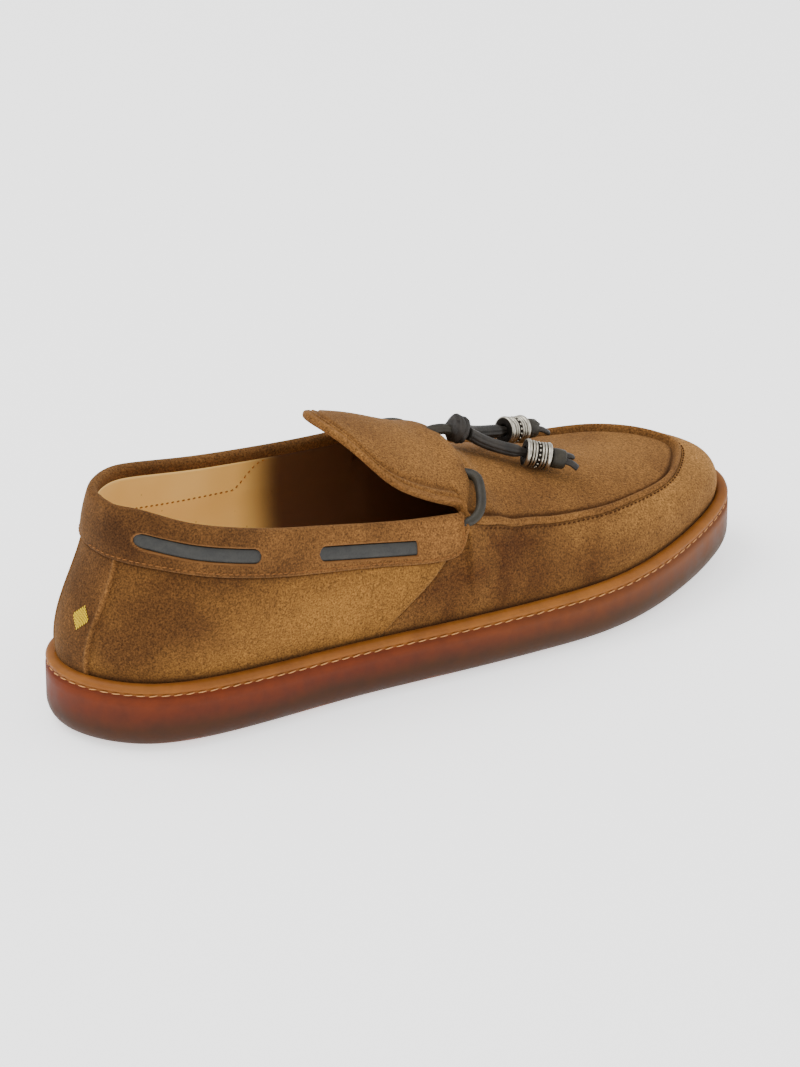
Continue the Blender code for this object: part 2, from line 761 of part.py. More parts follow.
def turned(name, profile_rows, start, end, sides=20):
    # A turned piece: rows of share along the axis and radius, closed where the radius is none
    start, end = np.array(start), np.array(end)
    axis = unit(end - start)
    aside = unit(np.cross(axis, [0, 0, 1.0]))
    other = np.cross(axis, aside)
    length = np.linalg.norm(end - start)
    rings = []
    for share, radius in profile_rows:
        for k in range(sides):
            angle = 2 * math.pi * k / sides
            spoke = aside * math.cos(angle) + other * math.sin(angle)
            rings.append(start + axis * length * share + spoke * radius)
    count = len(profile_rows)
    faces = band_faces(count, sides, flip=False)
    if profile_rows[0] == profile_rows[-1]:
        rings = rings[:-sides]
        faces = [tuple(i % len(rings) for i in face) for face in faces]
    else:
        faces.append(tuple(reversed(range(sides))))
        faces.append(tuple(range((count - 1) * sides, count * sides)))
    return build_mesh(name, rings, faces)


def make_tube(name, points, diameter):
    centre = (SOLE_LOOP[:, 1].max() + SOLE_LOOP[:, 1].min()) / 2
    points = np.asarray(points) - [LENGTH / 2, centre, 0]
    curve = bpy.data.curves.new(name, "CURVE")
    curve.dimensions = "3D"
    curve.bevel_depth = diameter / 2
    curve.bevel_resolution = 2
    curve.use_fill_caps = True
    path = curve.splines.new("POLY")
    path.points.add(len(points) - 1)
    for point, place in zip(path.points, points):
        point.co = (*place, 1)
    tube = bpy.data.objects.new(name, curve)
    bpy.context.scene.collection.objects.link(tube)
    dress(tube, "lace")


def make_tongue(columns, rows):
    # A flap from just behind the throat to its rounded rear edge, with rounded edges
    edge = through([(place * LENGTH, side * WIDTH) for place, side in TONGUE_EDGE], columns)
    across = edge[0, 1] + (edge[-1, 1] - edge[0, 1]) * np.linspace(0, 1, columns)
    start = np.column_stack([throat_x(across) - GAP, across])
    shares = np.linspace(0, 1, rows)
    plan = start[None] + (edge - start)[None] * shares[:, None, None]
    height = top_height(plan[..., 0].ravel(), plan[..., 1].ravel()).reshape(rows, columns)
    top = np.concatenate([plan, height[..., None]], axis=2)
    normal = unit(np.cross(np.gradient(top, axis=1), np.gradient(top, axis=0)))
    normal *= np.sign(normal[..., 2:])
    below = top - normal * TONGUE_THICK
    points = np.concatenate([top.reshape(-1, 3), below.reshape(-1, 3)])
    border = [c for c in range(columns)]
    border += [r * columns + columns - 1 for r in range(1, rows)]
    border += [(rows - 1) * columns + c for c in range(columns - 2, -1, -1)]
    border += [r * columns for r in range(rows - 2, 0, -1)]
    faces = []
    under = rows * columns
    for r in range(rows - 1):
        for c in range(columns - 1):
            a = r * columns + c
            b = a + columns
            faces.append((a, a + 1, b + 1, b))
            faces.append((under + b, under + b + 1, under + a + 1, under + a))
    middles = []
    for i in border:
        r, c = divmod(i, columns)
        outward_step = np.zeros(3)
        if r == rows - 1:
            outward_step = unit(top[r, c] - top[r - 1, c])
        middles.append((top[r, c] + below[r, c]) / 2 + outward_step * TONGUE_THICK * 0.3)
    first = len(points)
    points = np.concatenate([points, middles])
    for n, i in enumerate(border):
        m = (n + 1) % len(border)
        j = border[m]
        faces.append((first + n, first + m, j, i))
        faces.append((under + i, under + j, first + m, first + n))
    dress(build_mesh("tongue", points, faces), "suede")


def sized(rows, diameter):
    return [(share, size * diameter / 2) for share, size in rows]


def hole_axis(name, depths):
    # Points on a hole's axis, at depths below the upper's face
    point, normal = surface_point(*HOLES[name])
    return [point - normal * depth for depth in depths]


def route(rows):
    # Points above the upper, from rows of place, across and lift
    points = []
    for place, across, lift in rows:
        point, normal = surface_point(place, across)
        points.append(point + normal * lift * CORD)
    return points


def make_lace(upper):
    for side in SIDES:
        loop = route(LOOPS[side]) + hole_axis(side, (-WALL * 0.3, WALL))
        make_tube("lace_loop_" + side, through(loop, 16), CORD)
    rise = route(STUB)
    ends = {name: route(rows) for name, rows in ENDS.items()}
    aim = unit((ends["near"][0] + ends["far"][0]) / 2 - rise[-1])
    stub_end = rise[-1] + aim * KNOT_LEAD
    stub = through(hole_axis("middle", (WALL, -WALL)) + rise, 12)
    make_tube("lace_stub", np.vstack([stub, stub_end]), STRAND)
    knot_start = stub_end + aim * GAP
    knot_end = knot_start + aim * KNOT_LENGTH
    dress(turned("lace_knot", sized(KNOT_PROFILE, KNOT_DIAMETER), knot_start, knot_end), "lace")
    bore = STRAND / 2 + GAP
    barrel = [(0.0, bore)] + sized(BEAD_PROFILE, BEAD_DIAMETER) + [(1.0, bore), (0.0, bore)]
    for name, points in ends.items():
        points = through(points, 9)
        axis = unit(points[-1] - points[-2])
        bead_start = points[-1] + axis * BEAD_START
        bead_end = bead_start + axis * BEAD_LENGTH
        strand_end = bead_end + axis * GAP
        straight = [points[-1] + (strand_end - points[-1]) * share for share in (0.5, 1)]
        start = points[0] - aim * KNOT_LEAD
        make_tube("lace_end_" + name, np.vstack([start, points, straight]), STRAND)
        dress(turned("bead_" + name, barrel, bead_start, bead_end, 24), "metal")
        tip_start = strand_end + axis * GAP
        tip_end = tip_start + axis * TIP_LENGTH
        tip = turned("lace_tip_" + name, sized(TIP_PROFILE, TIP_DIAMETER), tip_start, tip_end)
        dress(tip, "lace")
    for name in HOLES:
        radius = (STRAND if name == "middle" else CORD) / 2 + HOLE_ROOM
        top, bottom = hole_axis(name, (-WALL * 2, WALL * 2))
        add_cutter(upper, turned("hole " + name, [(0, radius), (1, radius)], bottom, top, 16))


def make_windows(upper):
    for side in SIDES:
        for window in WINDOWS:
            cutter = window_solid(f"slot {side} {window}", side, window, 0, -0.001, WINDOW_DEPTH)
            add_cutter(upper, cutter)
            deep = WINDOW_DEPTH - GAP
            name = f"lace_bar_{side}_{window}"
            dress(window_solid(name, side, window, GAP, deep - BAR_THICK, deep), "lace")


def main():
    for item in list(bpy.data.objects):
        bpy.data.objects.remove(item, do_unlink=True)
    ways = np.linspace(0, 1, 33)
    make_sole(ways)
    make_insole(ways)
    upper = make_upper()
    make_tongue(25, 8)
    make_windows(upper)
    make_lace(upper)


main()
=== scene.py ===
import math

import bmesh
import bpy
import mathutils
import numpy as np
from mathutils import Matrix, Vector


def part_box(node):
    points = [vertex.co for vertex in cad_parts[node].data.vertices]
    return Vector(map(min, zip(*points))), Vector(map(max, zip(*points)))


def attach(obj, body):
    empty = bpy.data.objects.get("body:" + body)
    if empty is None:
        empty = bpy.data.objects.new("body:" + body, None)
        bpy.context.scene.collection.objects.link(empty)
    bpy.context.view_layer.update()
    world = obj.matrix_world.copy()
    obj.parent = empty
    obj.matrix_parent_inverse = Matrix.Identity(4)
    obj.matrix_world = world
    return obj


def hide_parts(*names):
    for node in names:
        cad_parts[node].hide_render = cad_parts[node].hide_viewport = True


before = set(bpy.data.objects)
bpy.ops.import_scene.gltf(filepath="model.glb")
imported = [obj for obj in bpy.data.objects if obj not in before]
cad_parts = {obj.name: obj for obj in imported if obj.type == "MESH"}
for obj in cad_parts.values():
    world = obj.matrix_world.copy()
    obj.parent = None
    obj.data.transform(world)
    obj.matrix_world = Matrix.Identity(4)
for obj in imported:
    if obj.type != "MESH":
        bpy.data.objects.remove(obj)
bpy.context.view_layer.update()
print("frame loaded")

soleLow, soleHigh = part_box("sole")

# The last: sizes that every piece follows
last = {
    "length": soleHigh.x - soleLow.x,
    "width": 0.100,          # reference for every half-width
    "instep": 0.080,
    "back": 0.090,
    "rim": 0.025,
    "spring": 0.006,
    "springFrom": 0.66,
    "floor": 0.0130,
    "rimWidth": 0.0050,
    "wall": 0.0022,
    "gap": 0.0003,
    "corner": 0.518,         # where the collar band ends, share of the length
    "throatBow": 0.029,
    "lineHeel": 0.0613,
    "lineToe": 0.942,
    "edgeSink": 0.0003,      # how far a rolled edge starts below its surface
}

# place / length, lateral / width, medial / width
outline = [
    (0.020, 0.188, 0.172), (0.080, 0.350, 0.293), (0.200, 0.420, 0.353), (0.350, 0.434, 0.350),
    (0.500, 0.475, 0.362), (0.630, 0.503, 0.435), (0.740, 0.497, 0.475), (0.850, 0.405, 0.412),
    (0.940, 0.268, 0.298), (0.980, 0.158, 0.192),
]
seamLine = [
    (0.0643, 0.078, 0.078), (0.080, 0.174, 0.172), (0.098, 0.234, 0.226), (0.142, 0.317, 0.295),
    (0.235, 0.368, 0.333), (0.310, 0.380, 0.341), (0.409, 0.391, 0.352), (0.520, 0.396, 0.362),
    (0.600, 0.372, 0.358), (0.700, 0.352, 0.350), (0.760, 0.330, 0.342), (0.843, 0.265, 0.315),
    (0.886, 0.190, 0.268), (0.920, 0.085, 0.186),
]
# place / length, height / rim
rimLine = [(0.00, 1.09), (0.30, 0.98), (0.65, 0.93), (1.00, 1.00)]
# place / length, lateral and medial height / back
bandFoot = [
    (0.0613, 0.778, 0.778), (0.098, 0.765, 0.765), (0.142, 0.733, 0.740), (0.235, 0.663, 0.690),
    (0.310, 0.622, 0.667), (0.409, 0.569, 0.630), (0.480, 0.531, 0.600), (0.500, 0.537, 0.612),
    (0.5085, 0.560, 0.645), (0.515, 0.602, 0.698),
]
# place / length, lateral and medial / width, lateral and medial height / back
collar = [
    (0.0755, 0.078, 0.078, 1.000, 1.000), (0.092, 0.150, 0.147, 0.999, 0.999),
    (0.127, 0.255, 0.225, 0.966, 0.985), (0.172, 0.312, 0.275, 0.924, 0.950),
    (0.247, 0.330, 0.307, 0.858, 0.895), (0.312, 0.340, 0.320, 0.816, 0.862),
    (0.402, 0.350, 0.333, 0.758, 0.827), (0.460, 0.358, 0.342, 0.729, 0.810),
    (0.520, 0.368, 0.350, 0.708, 0.795),
]
# place / length, crown / width, height, lateral and medial fall / instep
topLine = [
    (0.350, 0.030, 1.272, 0.235, 0.270), (0.373, 0.030, 1.243, 0.235, 0.270),
    (0.400, 0.035, 1.209, 0.237, 0.275), (0.450, 0.040, 1.150, 0.237, 0.280),
    (0.500, 0.040, 1.077, 0.240, 0.290), (0.533, 0.040, 1.026, 0.250, 0.310),
    (0.553, 0.040, 0.990, 0.250, 0.300), (0.569, 0.040, 0.944, 0.230, 0.285),
    (0.590, 0.040, 0.872, 0.204, 0.262), (0.613, 0.040, 0.833, 0.190, 0.242),
    (0.650, 0.045, 0.788, 0.180, 0.215), (0.700, 0.050, 0.731, 0.154, 0.185),
    (0.753, 0.065, 0.676, 0.120, 0.138), (0.800, 0.085, 0.632, 0.084, 0.100),
    (0.843, 0.105, 0.602, 0.062, 0.062), (0.893, 0.130, 0.576, 0.042, 0.050),
    (0.937, 0.140, 0.552, 0.037, 0.045), (0.970, 0.140, 0.535, 0.037, 0.045),
]
# way round, degrees outward at the foot, inward at the line on each side, handle / chord
wallShape = [
    (0.00, 8.0, 17.0, 17.0, 0.38), (0.15, 8.0, 16.0, 13.0, 0.38), (0.35, 6.0, 13.0, 8.0, 0.38),
    (0.50, 5.0, 12.0, 8.0, 0.38), (0.56, 5.0, 26.0, 20.0, 0.38), (0.70, 6.0, 55.0, 45.0, 0.39),
    (0.85, 12.0, 74.0, 74.0, 0.46), (1.00, 15.0, 82.0, 82.0, 0.49),
]
# place / length, across / width
tongueEdge = [
    (0.520, -0.338), (0.492, -0.338), (0.462, -0.328), (0.434, -0.298),
    (0.416, -0.235), (0.402, -0.155), (0.389, -0.070), (0.381, 0.020),
    (0.388, 0.110), (0.407, 0.190), (0.427, 0.250), (0.455, 0.290),
    (0.487, 0.308), (0.520, 0.312),
]


def unit(vectors):
    return vectors / np.linalg.norm(vectors, axis=-1, keepdims=True)


def spline(knots, values, closed=False):
    # Cubic curve through the values
    knots = np.asarray(knots, float)
    values = np.asarray(values, float).reshape(len(knots), -1)
    step = np.diff(knots)
    slope = np.diff(values, axis=0) / step[:, None]
    count = len(knots)
    matrix = np.eye(count)
    right = np.zeros_like(values)
    for i in range(1, count - 1):
        matrix[i, i - 1:i + 2] = step[i - 1], 2 * (step[i - 1] + step[i]), step[i]
        right[i] = 6 * (slope[i] - slope[i - 1])
    if closed:
        matrix[0, -1] = -1
        matrix[-1, :2] = 2 * step[0], step[0]
        matrix[-1, -2:] = step[-1], 2 * step[-1]
        right[-1] = 6 * (slope[0] - slope[-1])
    bend = np.linalg.solve(matrix, right)

    def at(places):
        places = np.clip(np.asarray(places, float), knots[0], knots[-1])
        i = np.clip(np.searchsorted(knots, places, side="right") - 1, 0, count - 2)
        span = step[i][..., None]
        ahead = (knots[i + 1] - places)[..., None]
        behind = (places - knots[i])[..., None]
        cubic = (bend[i] * ahead**3 + bend[i + 1] * behind**3) / (6 * span)
        start = (values[i] / span - bend[i] * span / 6) * ahead
        end = (values[i + 1] / span - bend[i + 1] * span / 6) * behind
        return cubic + start + end

    return at


def through(points, count, closed=False):
    points = np.asarray(points, float)
    if closed:
        points = np.vstack([points, points[:1]])
    chords = np.linalg.norm(np.diff(points, axis=0), axis=1)
    knots = np.concatenate([[0], np.cumsum(np.sqrt(chords))])
    curve = spline(knots, points, closed)
    return curve(np.linspace(0, knots[-1], count, endpoint=not closed))


def evenly(points, spacing):
    # The same line with evenly spaced points
    points = np.asarray(points, float)
    travel = np.concatenate([[0], np.cumsum(np.linalg.norm(np.diff(points, axis=0), axis=1))])
    marks = np.linspace(0, travel[-1], max(2, int(round(travel[-1] / spacing)) + 1))
    return np.stack([np.interp(marks, travel, points[:, i]) for i in range(3)], axis=1)


def column(table, index):
    curve = spline([row[0] for row in table], [row[index] for row in table])
    return lambda place: curve(place)[..., 0]


topColumns = [column(topLine, i) for i in range(1, 5)]
shapeColumns = [column(wallShape, i) for i in range(1, 5)]
footColumns = {"lateral": column(bandFoot, 1), "medial": column(bandFoot, 2)}
rimColumn = column(rimLine, 1)


def planLoop(heel, table, toe, toeSide):
    rows = [(heel, 0)]
    rows += [(place, -lateral) for place, lateral, medial in table]
    rows += [(toe, toeSide)]
    rows += [(place, medial) for place, lateral, medial in reversed(table)]
    size = [last["length"], last["width"]]
    loop = through([np.multiply(row, size) for row in rows], 1600, True)
    share = (loop[:, 0] - loop[:, 0].min()) / np.ptp(loop[:, 0])
    loop[:, 0] = (heel + share * (toe - heel)) * last["length"]
    return loop


def outward(loop):
    along = np.roll(loop, -1, axis=0) - np.roll(loop, 1, axis=0)
    return unit(np.stack([along[:, 1], -along[:, 0]], axis=1))


def sideCurves(loop):
    # Lateral and medial half of a plan loop, with the way along each and the way out
    rows = np.hstack([loop, outward(loop)])
    rows = np.roll(rows, -int(loop[:, 0].argmin()), axis=0)
    toe = int(rows[:, 0].argmax())
    curves = {}
    for side, half in (("lateral", rows[:toe + 1]), ("medial", np.vstack([rows[:1], rows[toe:][::-1]]))):
        share = (half[:, 0] - half[0, 0]) / (half[-1, 0] - half[0, 0])
        curves[side] = (np.arccos(np.clip(1 - 2 * share, -1, 1)) / math.pi, half)
    return curves


def onCurve(curves, side, way):
    ways, rows = curves[side]
    found = np.stack([np.interp(way, ways, values) for values in rows.T], axis=-1)
    return found[..., :2], unit(found[..., 2:])


soleLoop = planLoop(0, outline, 1, 0.015)
soleOut = outward(soleLoop)
middle = (soleLoop[:, 1].max() + soleLoop[:, 1].min()) / 2
toWorld = np.array([soleLow.x, -middle, 0.0])
seatCurves = sideCurves(soleLoop - soleOut * (last["rimWidth"] + last["gap"]))
lineCurves = sideCurves(planLoop(last["lineHeel"], seamLine, last["lineToe"], 0.04))


def bottomHeight(x):
    rise = np.clip((x / last["length"] - last["springFrom"]) / (1 - last["springFrom"]), 0, None)
    return last["spring"] * rise**2


def rimHeight(x):
    return bottomHeight(x) + last["rim"] * rimColumn(x / last["length"])


def topHeight(x, y):
    place = x / last["length"]
    crown, height, lateral, medial = [curve(place) for curve in topColumns]
    away = (y - crown * last["width"]) / (0.40 * last["width"])
    return last["instep"] * (height - np.where(away < 0, lateral, medial) * away**2)


def withHeight(plan, height):
    return np.concatenate([plan, np.asarray(height)[..., None]], axis=-1)


def wayOf(place):
    share = (place - last["lineHeel"]) / (last["lineToe"] - last["lineHeel"])
    return math.acos(1 - 2 * share) / math.pi


def collarHalves():
    rows = [(row[0], -row[1], row[3]) for row in reversed(collar)]
    rows += [(0.072, 0, collar[0][3])]
    rows += [(row[0], row[2], row[4]) for row in collar]
    size = [last["length"], last["width"], last["back"]]
    crest = through([np.multiply(row, size) for row in rows], 1600)
    heel = int(crest[:, 0].argmin())
    halves = {}
    for side, half in (("lateral", crest[:heel + 1][::-1]), ("medial", crest[heel:])):
        share = (half[:, 0] - half[0, 0]) / (half[-1, 0] - half[0, 0])
        halves[side] = (np.sqrt(np.clip(share, 0, 1)), half)
    return halves


crestHalves = collarHalves()
cornerWay = wayOf(last["corner"])


def linePoint(side, way):
    line, out = onCurve(lineCurves, side, way)
    place = line[..., 0] / last["length"]
    band = footColumns[side](place) * last["back"]
    lastRow = bandFoot[-1][0]
    blend = np.clip((place - lastRow) / (last["corner"] - lastRow), 0, 1)
    height = band * (1 - blend) + topHeight(line[..., 0], line[..., 1]) * blend
    return withHeight(line, height), out


def wallPoint(side, way, share):
    # Wall between the sole's rim (share 0) and the line (share 1)
    seat, footOut = onCurve(seatCurves, side, way)
    line, lineOut = linePoint(side, way)
    rim = withHeight(seat, rimHeight(seat[..., 0]))
    foot = np.radians(shapeColumns[0](way))[..., None]
    head = np.radians(shapeColumns[1 if side == "lateral" else 2](way))[..., None]
    up = np.array([0, 0, 1.0])
    flat = np.zeros(np.shape(way))
    start = withHeight(footOut, flat) * np.sin(foot) + up * np.cos(foot)
    end = withHeight(-lineOut, flat) * np.sin(head) + up * np.cos(head)
    chord = np.linalg.norm(line - rim, axis=-1, keepdims=True) * shapeColumns[3](way)[..., None]
    share = np.asarray(share)[..., None]
    rest = 1 - share
    points = rim * rest**3 + (rim + start * chord) * 3 * rest**2 * share
    return points + (line - end * chord) * 3 * rest * share**2 + line * share**3


def bandPoint(side, way, rise):
    # Band between the line (rise 0) and the collar's edge (rise 1)
    line, lineOut = linePoint(side, way)
    share = (line[..., 0] / last["length"] - last["lineHeel"]) / (last["corner"] - last["lineHeel"])
    share = np.sqrt(np.clip(share, 0, 1))
    mark, half = crestHalves[side]
    crest = np.stack([np.interp(share, mark, half[:, i]) for i in range(3)], axis=-1)
    edge = crest - unit(crest - line) * band["crest"]
    rise = np.asarray(rise)[..., None]
    flatOut = withHeight(lineOut, np.zeros(np.shape(way)))
    return line + (edge - line) * rise + flatOut * band["bulge"] * 4 * rise * (1 - rise)


def onBothSides(surface, way, share):
    # Way is 0 at the heel, 1 at the toe, and runs on from there along the medial side
    way = np.mod(np.asarray(way, float) + 1, 2) - 1
    share = np.broadcast_to(share, way.shape)
    lateral = surface("lateral", np.abs(way), share)
    medial = surface("medial", np.abs(way), share)
    return np.where((way >= 0)[..., None], lateral, medial)


def skin(surface, way, share, height=0.0):
    # Points on a surface, raised off it along its own normal
    way = np.asarray(way, float)
    share = np.broadcast_to(np.asarray(share, float), way.shape)
    step = 0.001
    along = onBothSides(surface, way + step, share) - onBothSides(surface, way - step, share)
    up = onBothSides(surface, way, share + step) - onBothSides(surface, way, share - step)
    normal = unit(np.cross(along, up))
    return onBothSides(surface, way, share) + normal * np.broadcast_to(height, way.shape)[..., None]


def rolled(distance, radius, height):
    # Height of a rolled edge at a distance from it
    rest = 1 - np.clip(distance / radius, 0, 1)
    return height * np.sqrt(np.clip(1 - rest**2, 0, 1)) - last["edgeSink"] * rest


def smooth(value, low, high):
    t = np.clip((value - low) / (high - low), 0, 1)
    return t * t * (3 - 2 * t)


def hill(value, middle, width):
    return np.exp(-((value - middle) / width)**2)


def spots(along, across, marks):
    # Soft spots in millimetres: middle along and across, reach of both, strength
    total = np.zeros(along.shape)
    for x, other, reachX, reachOther, strength in marks:
        away = ((along * 1000 - x) / reachX)**2 + ((across * 1000 - other) / reachOther)**2
        total += strength * np.exp(-away)
    return total


def linked(name, data):
    piece = bpy.data.objects.new(name, data)
    bpy.context.scene.collection.objects.link(piece)
    return piece


def meshFrom(name, points, faces):
    mesh = bpy.data.meshes.new(name)
    mesh.from_pydata((np.asarray(points) + toWorld).tolist(), [], [list(map(int, f)) for f in faces])
    mesh.validate()
    mesh.shade_smooth()
    return linked(name, mesh)


def placesOf(piece):
    # A piece's points in the shoe's own frame
    return np.array([v.co for v in piece.data.vertices]) - toWorld


def gridPiece(name, grid, wrap=False, flip=False):
    # A sheet of quads; wrap joins the last column to the first
    rows, columns = grid.shape[:2]
    r, c = np.meshgrid(np.arange(rows - 1), np.arange(columns if wrap else columns - 1), indexing="ij")
    a = (r * columns + c).ravel()
    b = (r * columns + (c + 1) % columns).ravel()
    faces = np.stack([a, b, b + columns, a + columns], axis=1)
    if flip:
        faces = faces[:, ::-1]
    return meshFrom(name, grid.reshape(-1, 3), faces)


def evaluatedMesh(piece):
    return bpy.data.meshes.new_from_object(piece.evaluated_get(bpy.context.evaluated_depsgraph_get()))


def thicken(piece, thickness):
    # Closes a sheet into a skin that grows inwards, as a plain mesh
    wall = piece.modifiers.new("skin", "SOLIDIFY")
    wall.thickness = thickness
    wall.offset = -1
    mesh = evaluatedMesh(piece)
    piece.modifiers.clear()
    piece.data = mesh


def mergeDoubles(piece, distance=0.00001):
    shape = bmesh.new()
    shape.from_mesh(piece.data)
    bmesh.ops.remove_doubles(shape, verts=shape.verts, dist=distance)
    bmesh.ops.recalc_face_normals(shape, faces=shape.faces)
    shape.to_mesh(piece.data)
    shape.free()


def addValues(piece, name, values):
    attribute = piece.data.attributes.new(name, "FLOAT", "POINT")
    attribute.data.foreach_set("value", np.asarray(values, np.float32).ravel())


def brush(piece, marks, across):
    # Light and dark areas, partly the nap's own tone and partly painted sheen and shade, by x and height
    # (2) or x and side (1)
    places = placesOf(piece)
    addValues(piece, "toneAndPaintedLight", np.clip(spots(places[:, 0], places[:, across], marks), -1, 1))


def finishPiece(piece, look, slot, *nodes):
    piece.data.materials.clear()
    piece.data.materials.append(look)
    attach(piece, "root")
    if nodes:
        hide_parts(*nodes)


# Materials
def linear(red, green, blue):
    def one(value):
        value = value / 255
        return value / 12.92 if value <= 0.04045 else ((value + 0.055) / 1.055)**2.4

    return (one(red), one(green), one(blue), 1.0)


class Recipe:
    # A small helper that adds nodes and links them
    def __init__(self, name):
        self.look = bpy.data.materials.new(name)
        self.look.use_nodes = True
        self.tree = self.look.node_tree
        self.shader = self.tree.nodes["Principled BSDF"]
        self.place = self.add("ShaderNodeTexCoord").outputs["Object"]

    def add(self, kind, **settings):
        node = self.tree.nodes.new(kind)
        for key, value in settings.items():
            if key in node.inputs:
                node.inputs[key].default_value = value
            else:
                setattr(node, key, value)
        return node

    def put(self, value, node, socket):
        # A link from another node, or a constant on the node's own socket
        if isinstance(value, bpy.types.NodeSocket):
            self.tree.links.new(value, node.inputs[socket])
        else:
            node.inputs[socket].default_value = value

    def attribute(self, name):
        return self.add("ShaderNodeAttribute", attribute_name=name).outputs["Fac"]

    def noise(self, scale, detail=2.0, roughness=0.5, distortion=0.0):
        node = self.add(
            "ShaderNodeTexNoise", Scale=scale, Detail=detail, Roughness=roughness, Distortion=distortion,
        )
        self.put(self.place, node, "Vector")
        return node.outputs["Fac"]

    def ramp(self, source, *stops):
        # Each stop is a position and a colour, or one number for a grey
        node = self.add("ShaderNodeValToRGB")
        marks = node.color_ramp.elements
        while len(marks) < len(stops):
            marks.new(0.5)
        for mark, (position, colour) in zip(marks, stops):
            mark.position = position
            mark.color = (colour, colour, colour, 1) if isinstance(colour, float) else colour
        self.put(source, node, "Fac")
        return node.outputs["Color"]

    def blend(self, factor, first, second, mode="MIX"):
        node = self.add("ShaderNodeMix", data_type="RGBA", blend_type=mode)
        for value, socket in ((factor, 0), (first, 6), (second, 7)):
            self.put(value, node, socket)
        return node.outputs[2]

    def maths(self, kind, *values, clamp=False):
        node = self.add("ShaderNodeMath", operation=kind, use_clamp=clamp)
        for socket, value in enumerate(values):
            self.put(value, node, socket)
        return node.outputs[0]

    def bump(self, height, distance, strength, under=None):
        node = self.add("ShaderNodeBump", Strength=strength, Distance=distance)
        self.put(height, node, "Height")
        if under:
            self.put(under, node, "Normal")
        return node.outputs["Normal"]

    def finish(self, colour, normal, roughness, **values):
        self.put(colour, self.shader, "Base Color")
        self.put(roughness, self.shader, "Roughness")
        if normal:
            self.put(normal, self.shader, "Normal")
        for name, value in values.items():
            self.put(value, self.shader, name.replace("_", " "))
        return self.look


suede = {
    "cloud": 32.0,           # brushed areas, per metre
    "mottle": 620.0,
    "grain": 1450.0,
    "sheen": 0.10,
}


def suedeLook(name, dark, light):
    # Brushed nap: listed light and dark areas, partly the nap's own tone and partly painted sheen and
    # shade, a fine mottle and a rough, soft surface
    recipe = Recipe(name)
    cloud = recipe.noise(suede["cloud"], 3.0, 0.55, 0.6)
    mottle = recipe.noise(suede["mottle"], 3.0, 0.65)
    grain = recipe.noise(suede["grain"], 2.0, 0.7)
    brushed = recipe.ramp(cloud, (0.30, 0.25), (0.70, 0.75))
    level = recipe.maths("MULTIPLY_ADD", recipe.attribute("toneAndPaintedLight"), 0.5, brushed)
    speck = recipe.ramp(grain, (0.30, (0.40, 0.38, 0.36, 1)), (0.50, 1.0), (0.70, (1.66, 1.64, 1.58, 1)))
    fleck = recipe.ramp(mottle, (0.30, (0.82, 0.81, 0.80, 1)), (0.70, (1.16, 1.16, 1.15, 1)))
    colour = recipe.ramp(level, (0.0, dark), (1.0, light))
    for layer in (fleck, speck):
        colour = recipe.blend(1.0, colour, layer, "MULTIPLY")
    # raw cut edges in their own colour, then painted shade at recesses and joins
    for name, tint in (("cut", linear(122, 82, 46)), ("shade", linear(58, 34, 18))):
        colour = recipe.blend(recipe.attribute(name), colour, tint)
    normal = recipe.bump(grain, 0.0003, 0.8, recipe.bump(mottle, 0.0003, 0.4))
    return recipe.finish(
        colour, normal, 0.95,
        Specular_IOR_Level=0.12, Sheen_Weight=suede["sheen"], Sheen_Roughness=0.5,
        Sheen_Tint=linear(220, 180, 125),
    )


# One suede in four tone ranges; the quarter's lighter and the vamp's darker range are partly painted sheen
# from the nap's direction
quarterSuede = suedeLook("quarterSuede", linear(76, 48, 22), linear(126, 87, 40))
vampSuede = suedeLook("vampSuede", linear(67, 39, 17), linear(136, 96, 50))
apronSuede = suedeLook("apronSuede", linear(86, 55, 27), linear(127, 88, 45))
bandSuede = suedeLook("bandSuede", linear(60, 36, 16), linear(114, 77, 40))


def liningLook():
    # Smooth tan leather with a few pores, dark towards the toe: a darker front lining and painted shade
    # under the instep
    recipe = Recipe("liningLeather")
    patch = recipe.noise(30.0)
    grain = recipe.noise(1800.0)
    pores = recipe.add("ShaderNodeTexVoronoi", Scale=210.0)
    recipe.put(recipe.place, pores, "Vector")
    dots = recipe.ramp(pores.outputs["Distance"], (0.05, (0.45, 0.38, 0.3, 1)), (0.09, 1.0))
    colour = recipe.ramp(patch, (0.3, linear(236, 190, 108)), (0.7, linear(248, 206, 126)))
    colour = recipe.blend(0.6, colour, dots, "MULTIPLY")
    # painted shade under the instep, over the darker front lining
    colour = recipe.blend(recipe.attribute("toneAndPaintedLight"), colour, linear(78, 48, 28))
    return recipe.finish(colour, recipe.bump(grain, 0.0001, 0.3), 0.55, Specular_IOR_Level=0.35)


liningLeather = liningLook()


def laceLook(name, dark, light, shine):
    recipe = Recipe(name)
    wear = recipe.noise(160.0, 3.0, 0.6)
    grain = recipe.noise(1400.0, 3.0, 0.6)
    colour = recipe.ramp(wear, (0.3, dark), (0.7, light))
    rough = recipe.ramp(grain, (0.3, 0.62), (0.7, 0.44))
    return recipe.finish(colour, recipe.bump(grain, 0.0002, 0.6), rough, Specular_IOR_Level=shine)


laceLeather = laceLook("laceLeather", linear(26, 22, 14), linear(48, 43, 32), 0.3)
knotLeather = laceLook("knotLeather", linear(21, 18, 15), linear(48, 42, 36), 0.3)
strapLeather = laceLook("strapLeather", linear(20, 20, 18), linear(40, 39, 34), 0.42)


def metalLook():
    # Antique silver: dark in the grooves, bright on the edges
    recipe = Recipe("beadMetal")
    worn = recipe.noise(700.0, 3.0, 0.6)
    groove = recipe.attribute("groove")
    bright = recipe.ramp(worn, (0.3, linear(148, 142, 128)), (0.7, linear(190, 184, 170)))
    colour = recipe.blend(groove, bright, linear(38, 34, 30))
    rough = recipe.maths("MULTIPLY_ADD", groove, 0.35, 0.32)
    return recipe.finish(colour, recipe.bump(worn, 0.0001, 0.4), rough, Metallic=1.0)


beadMetal = metalLook()


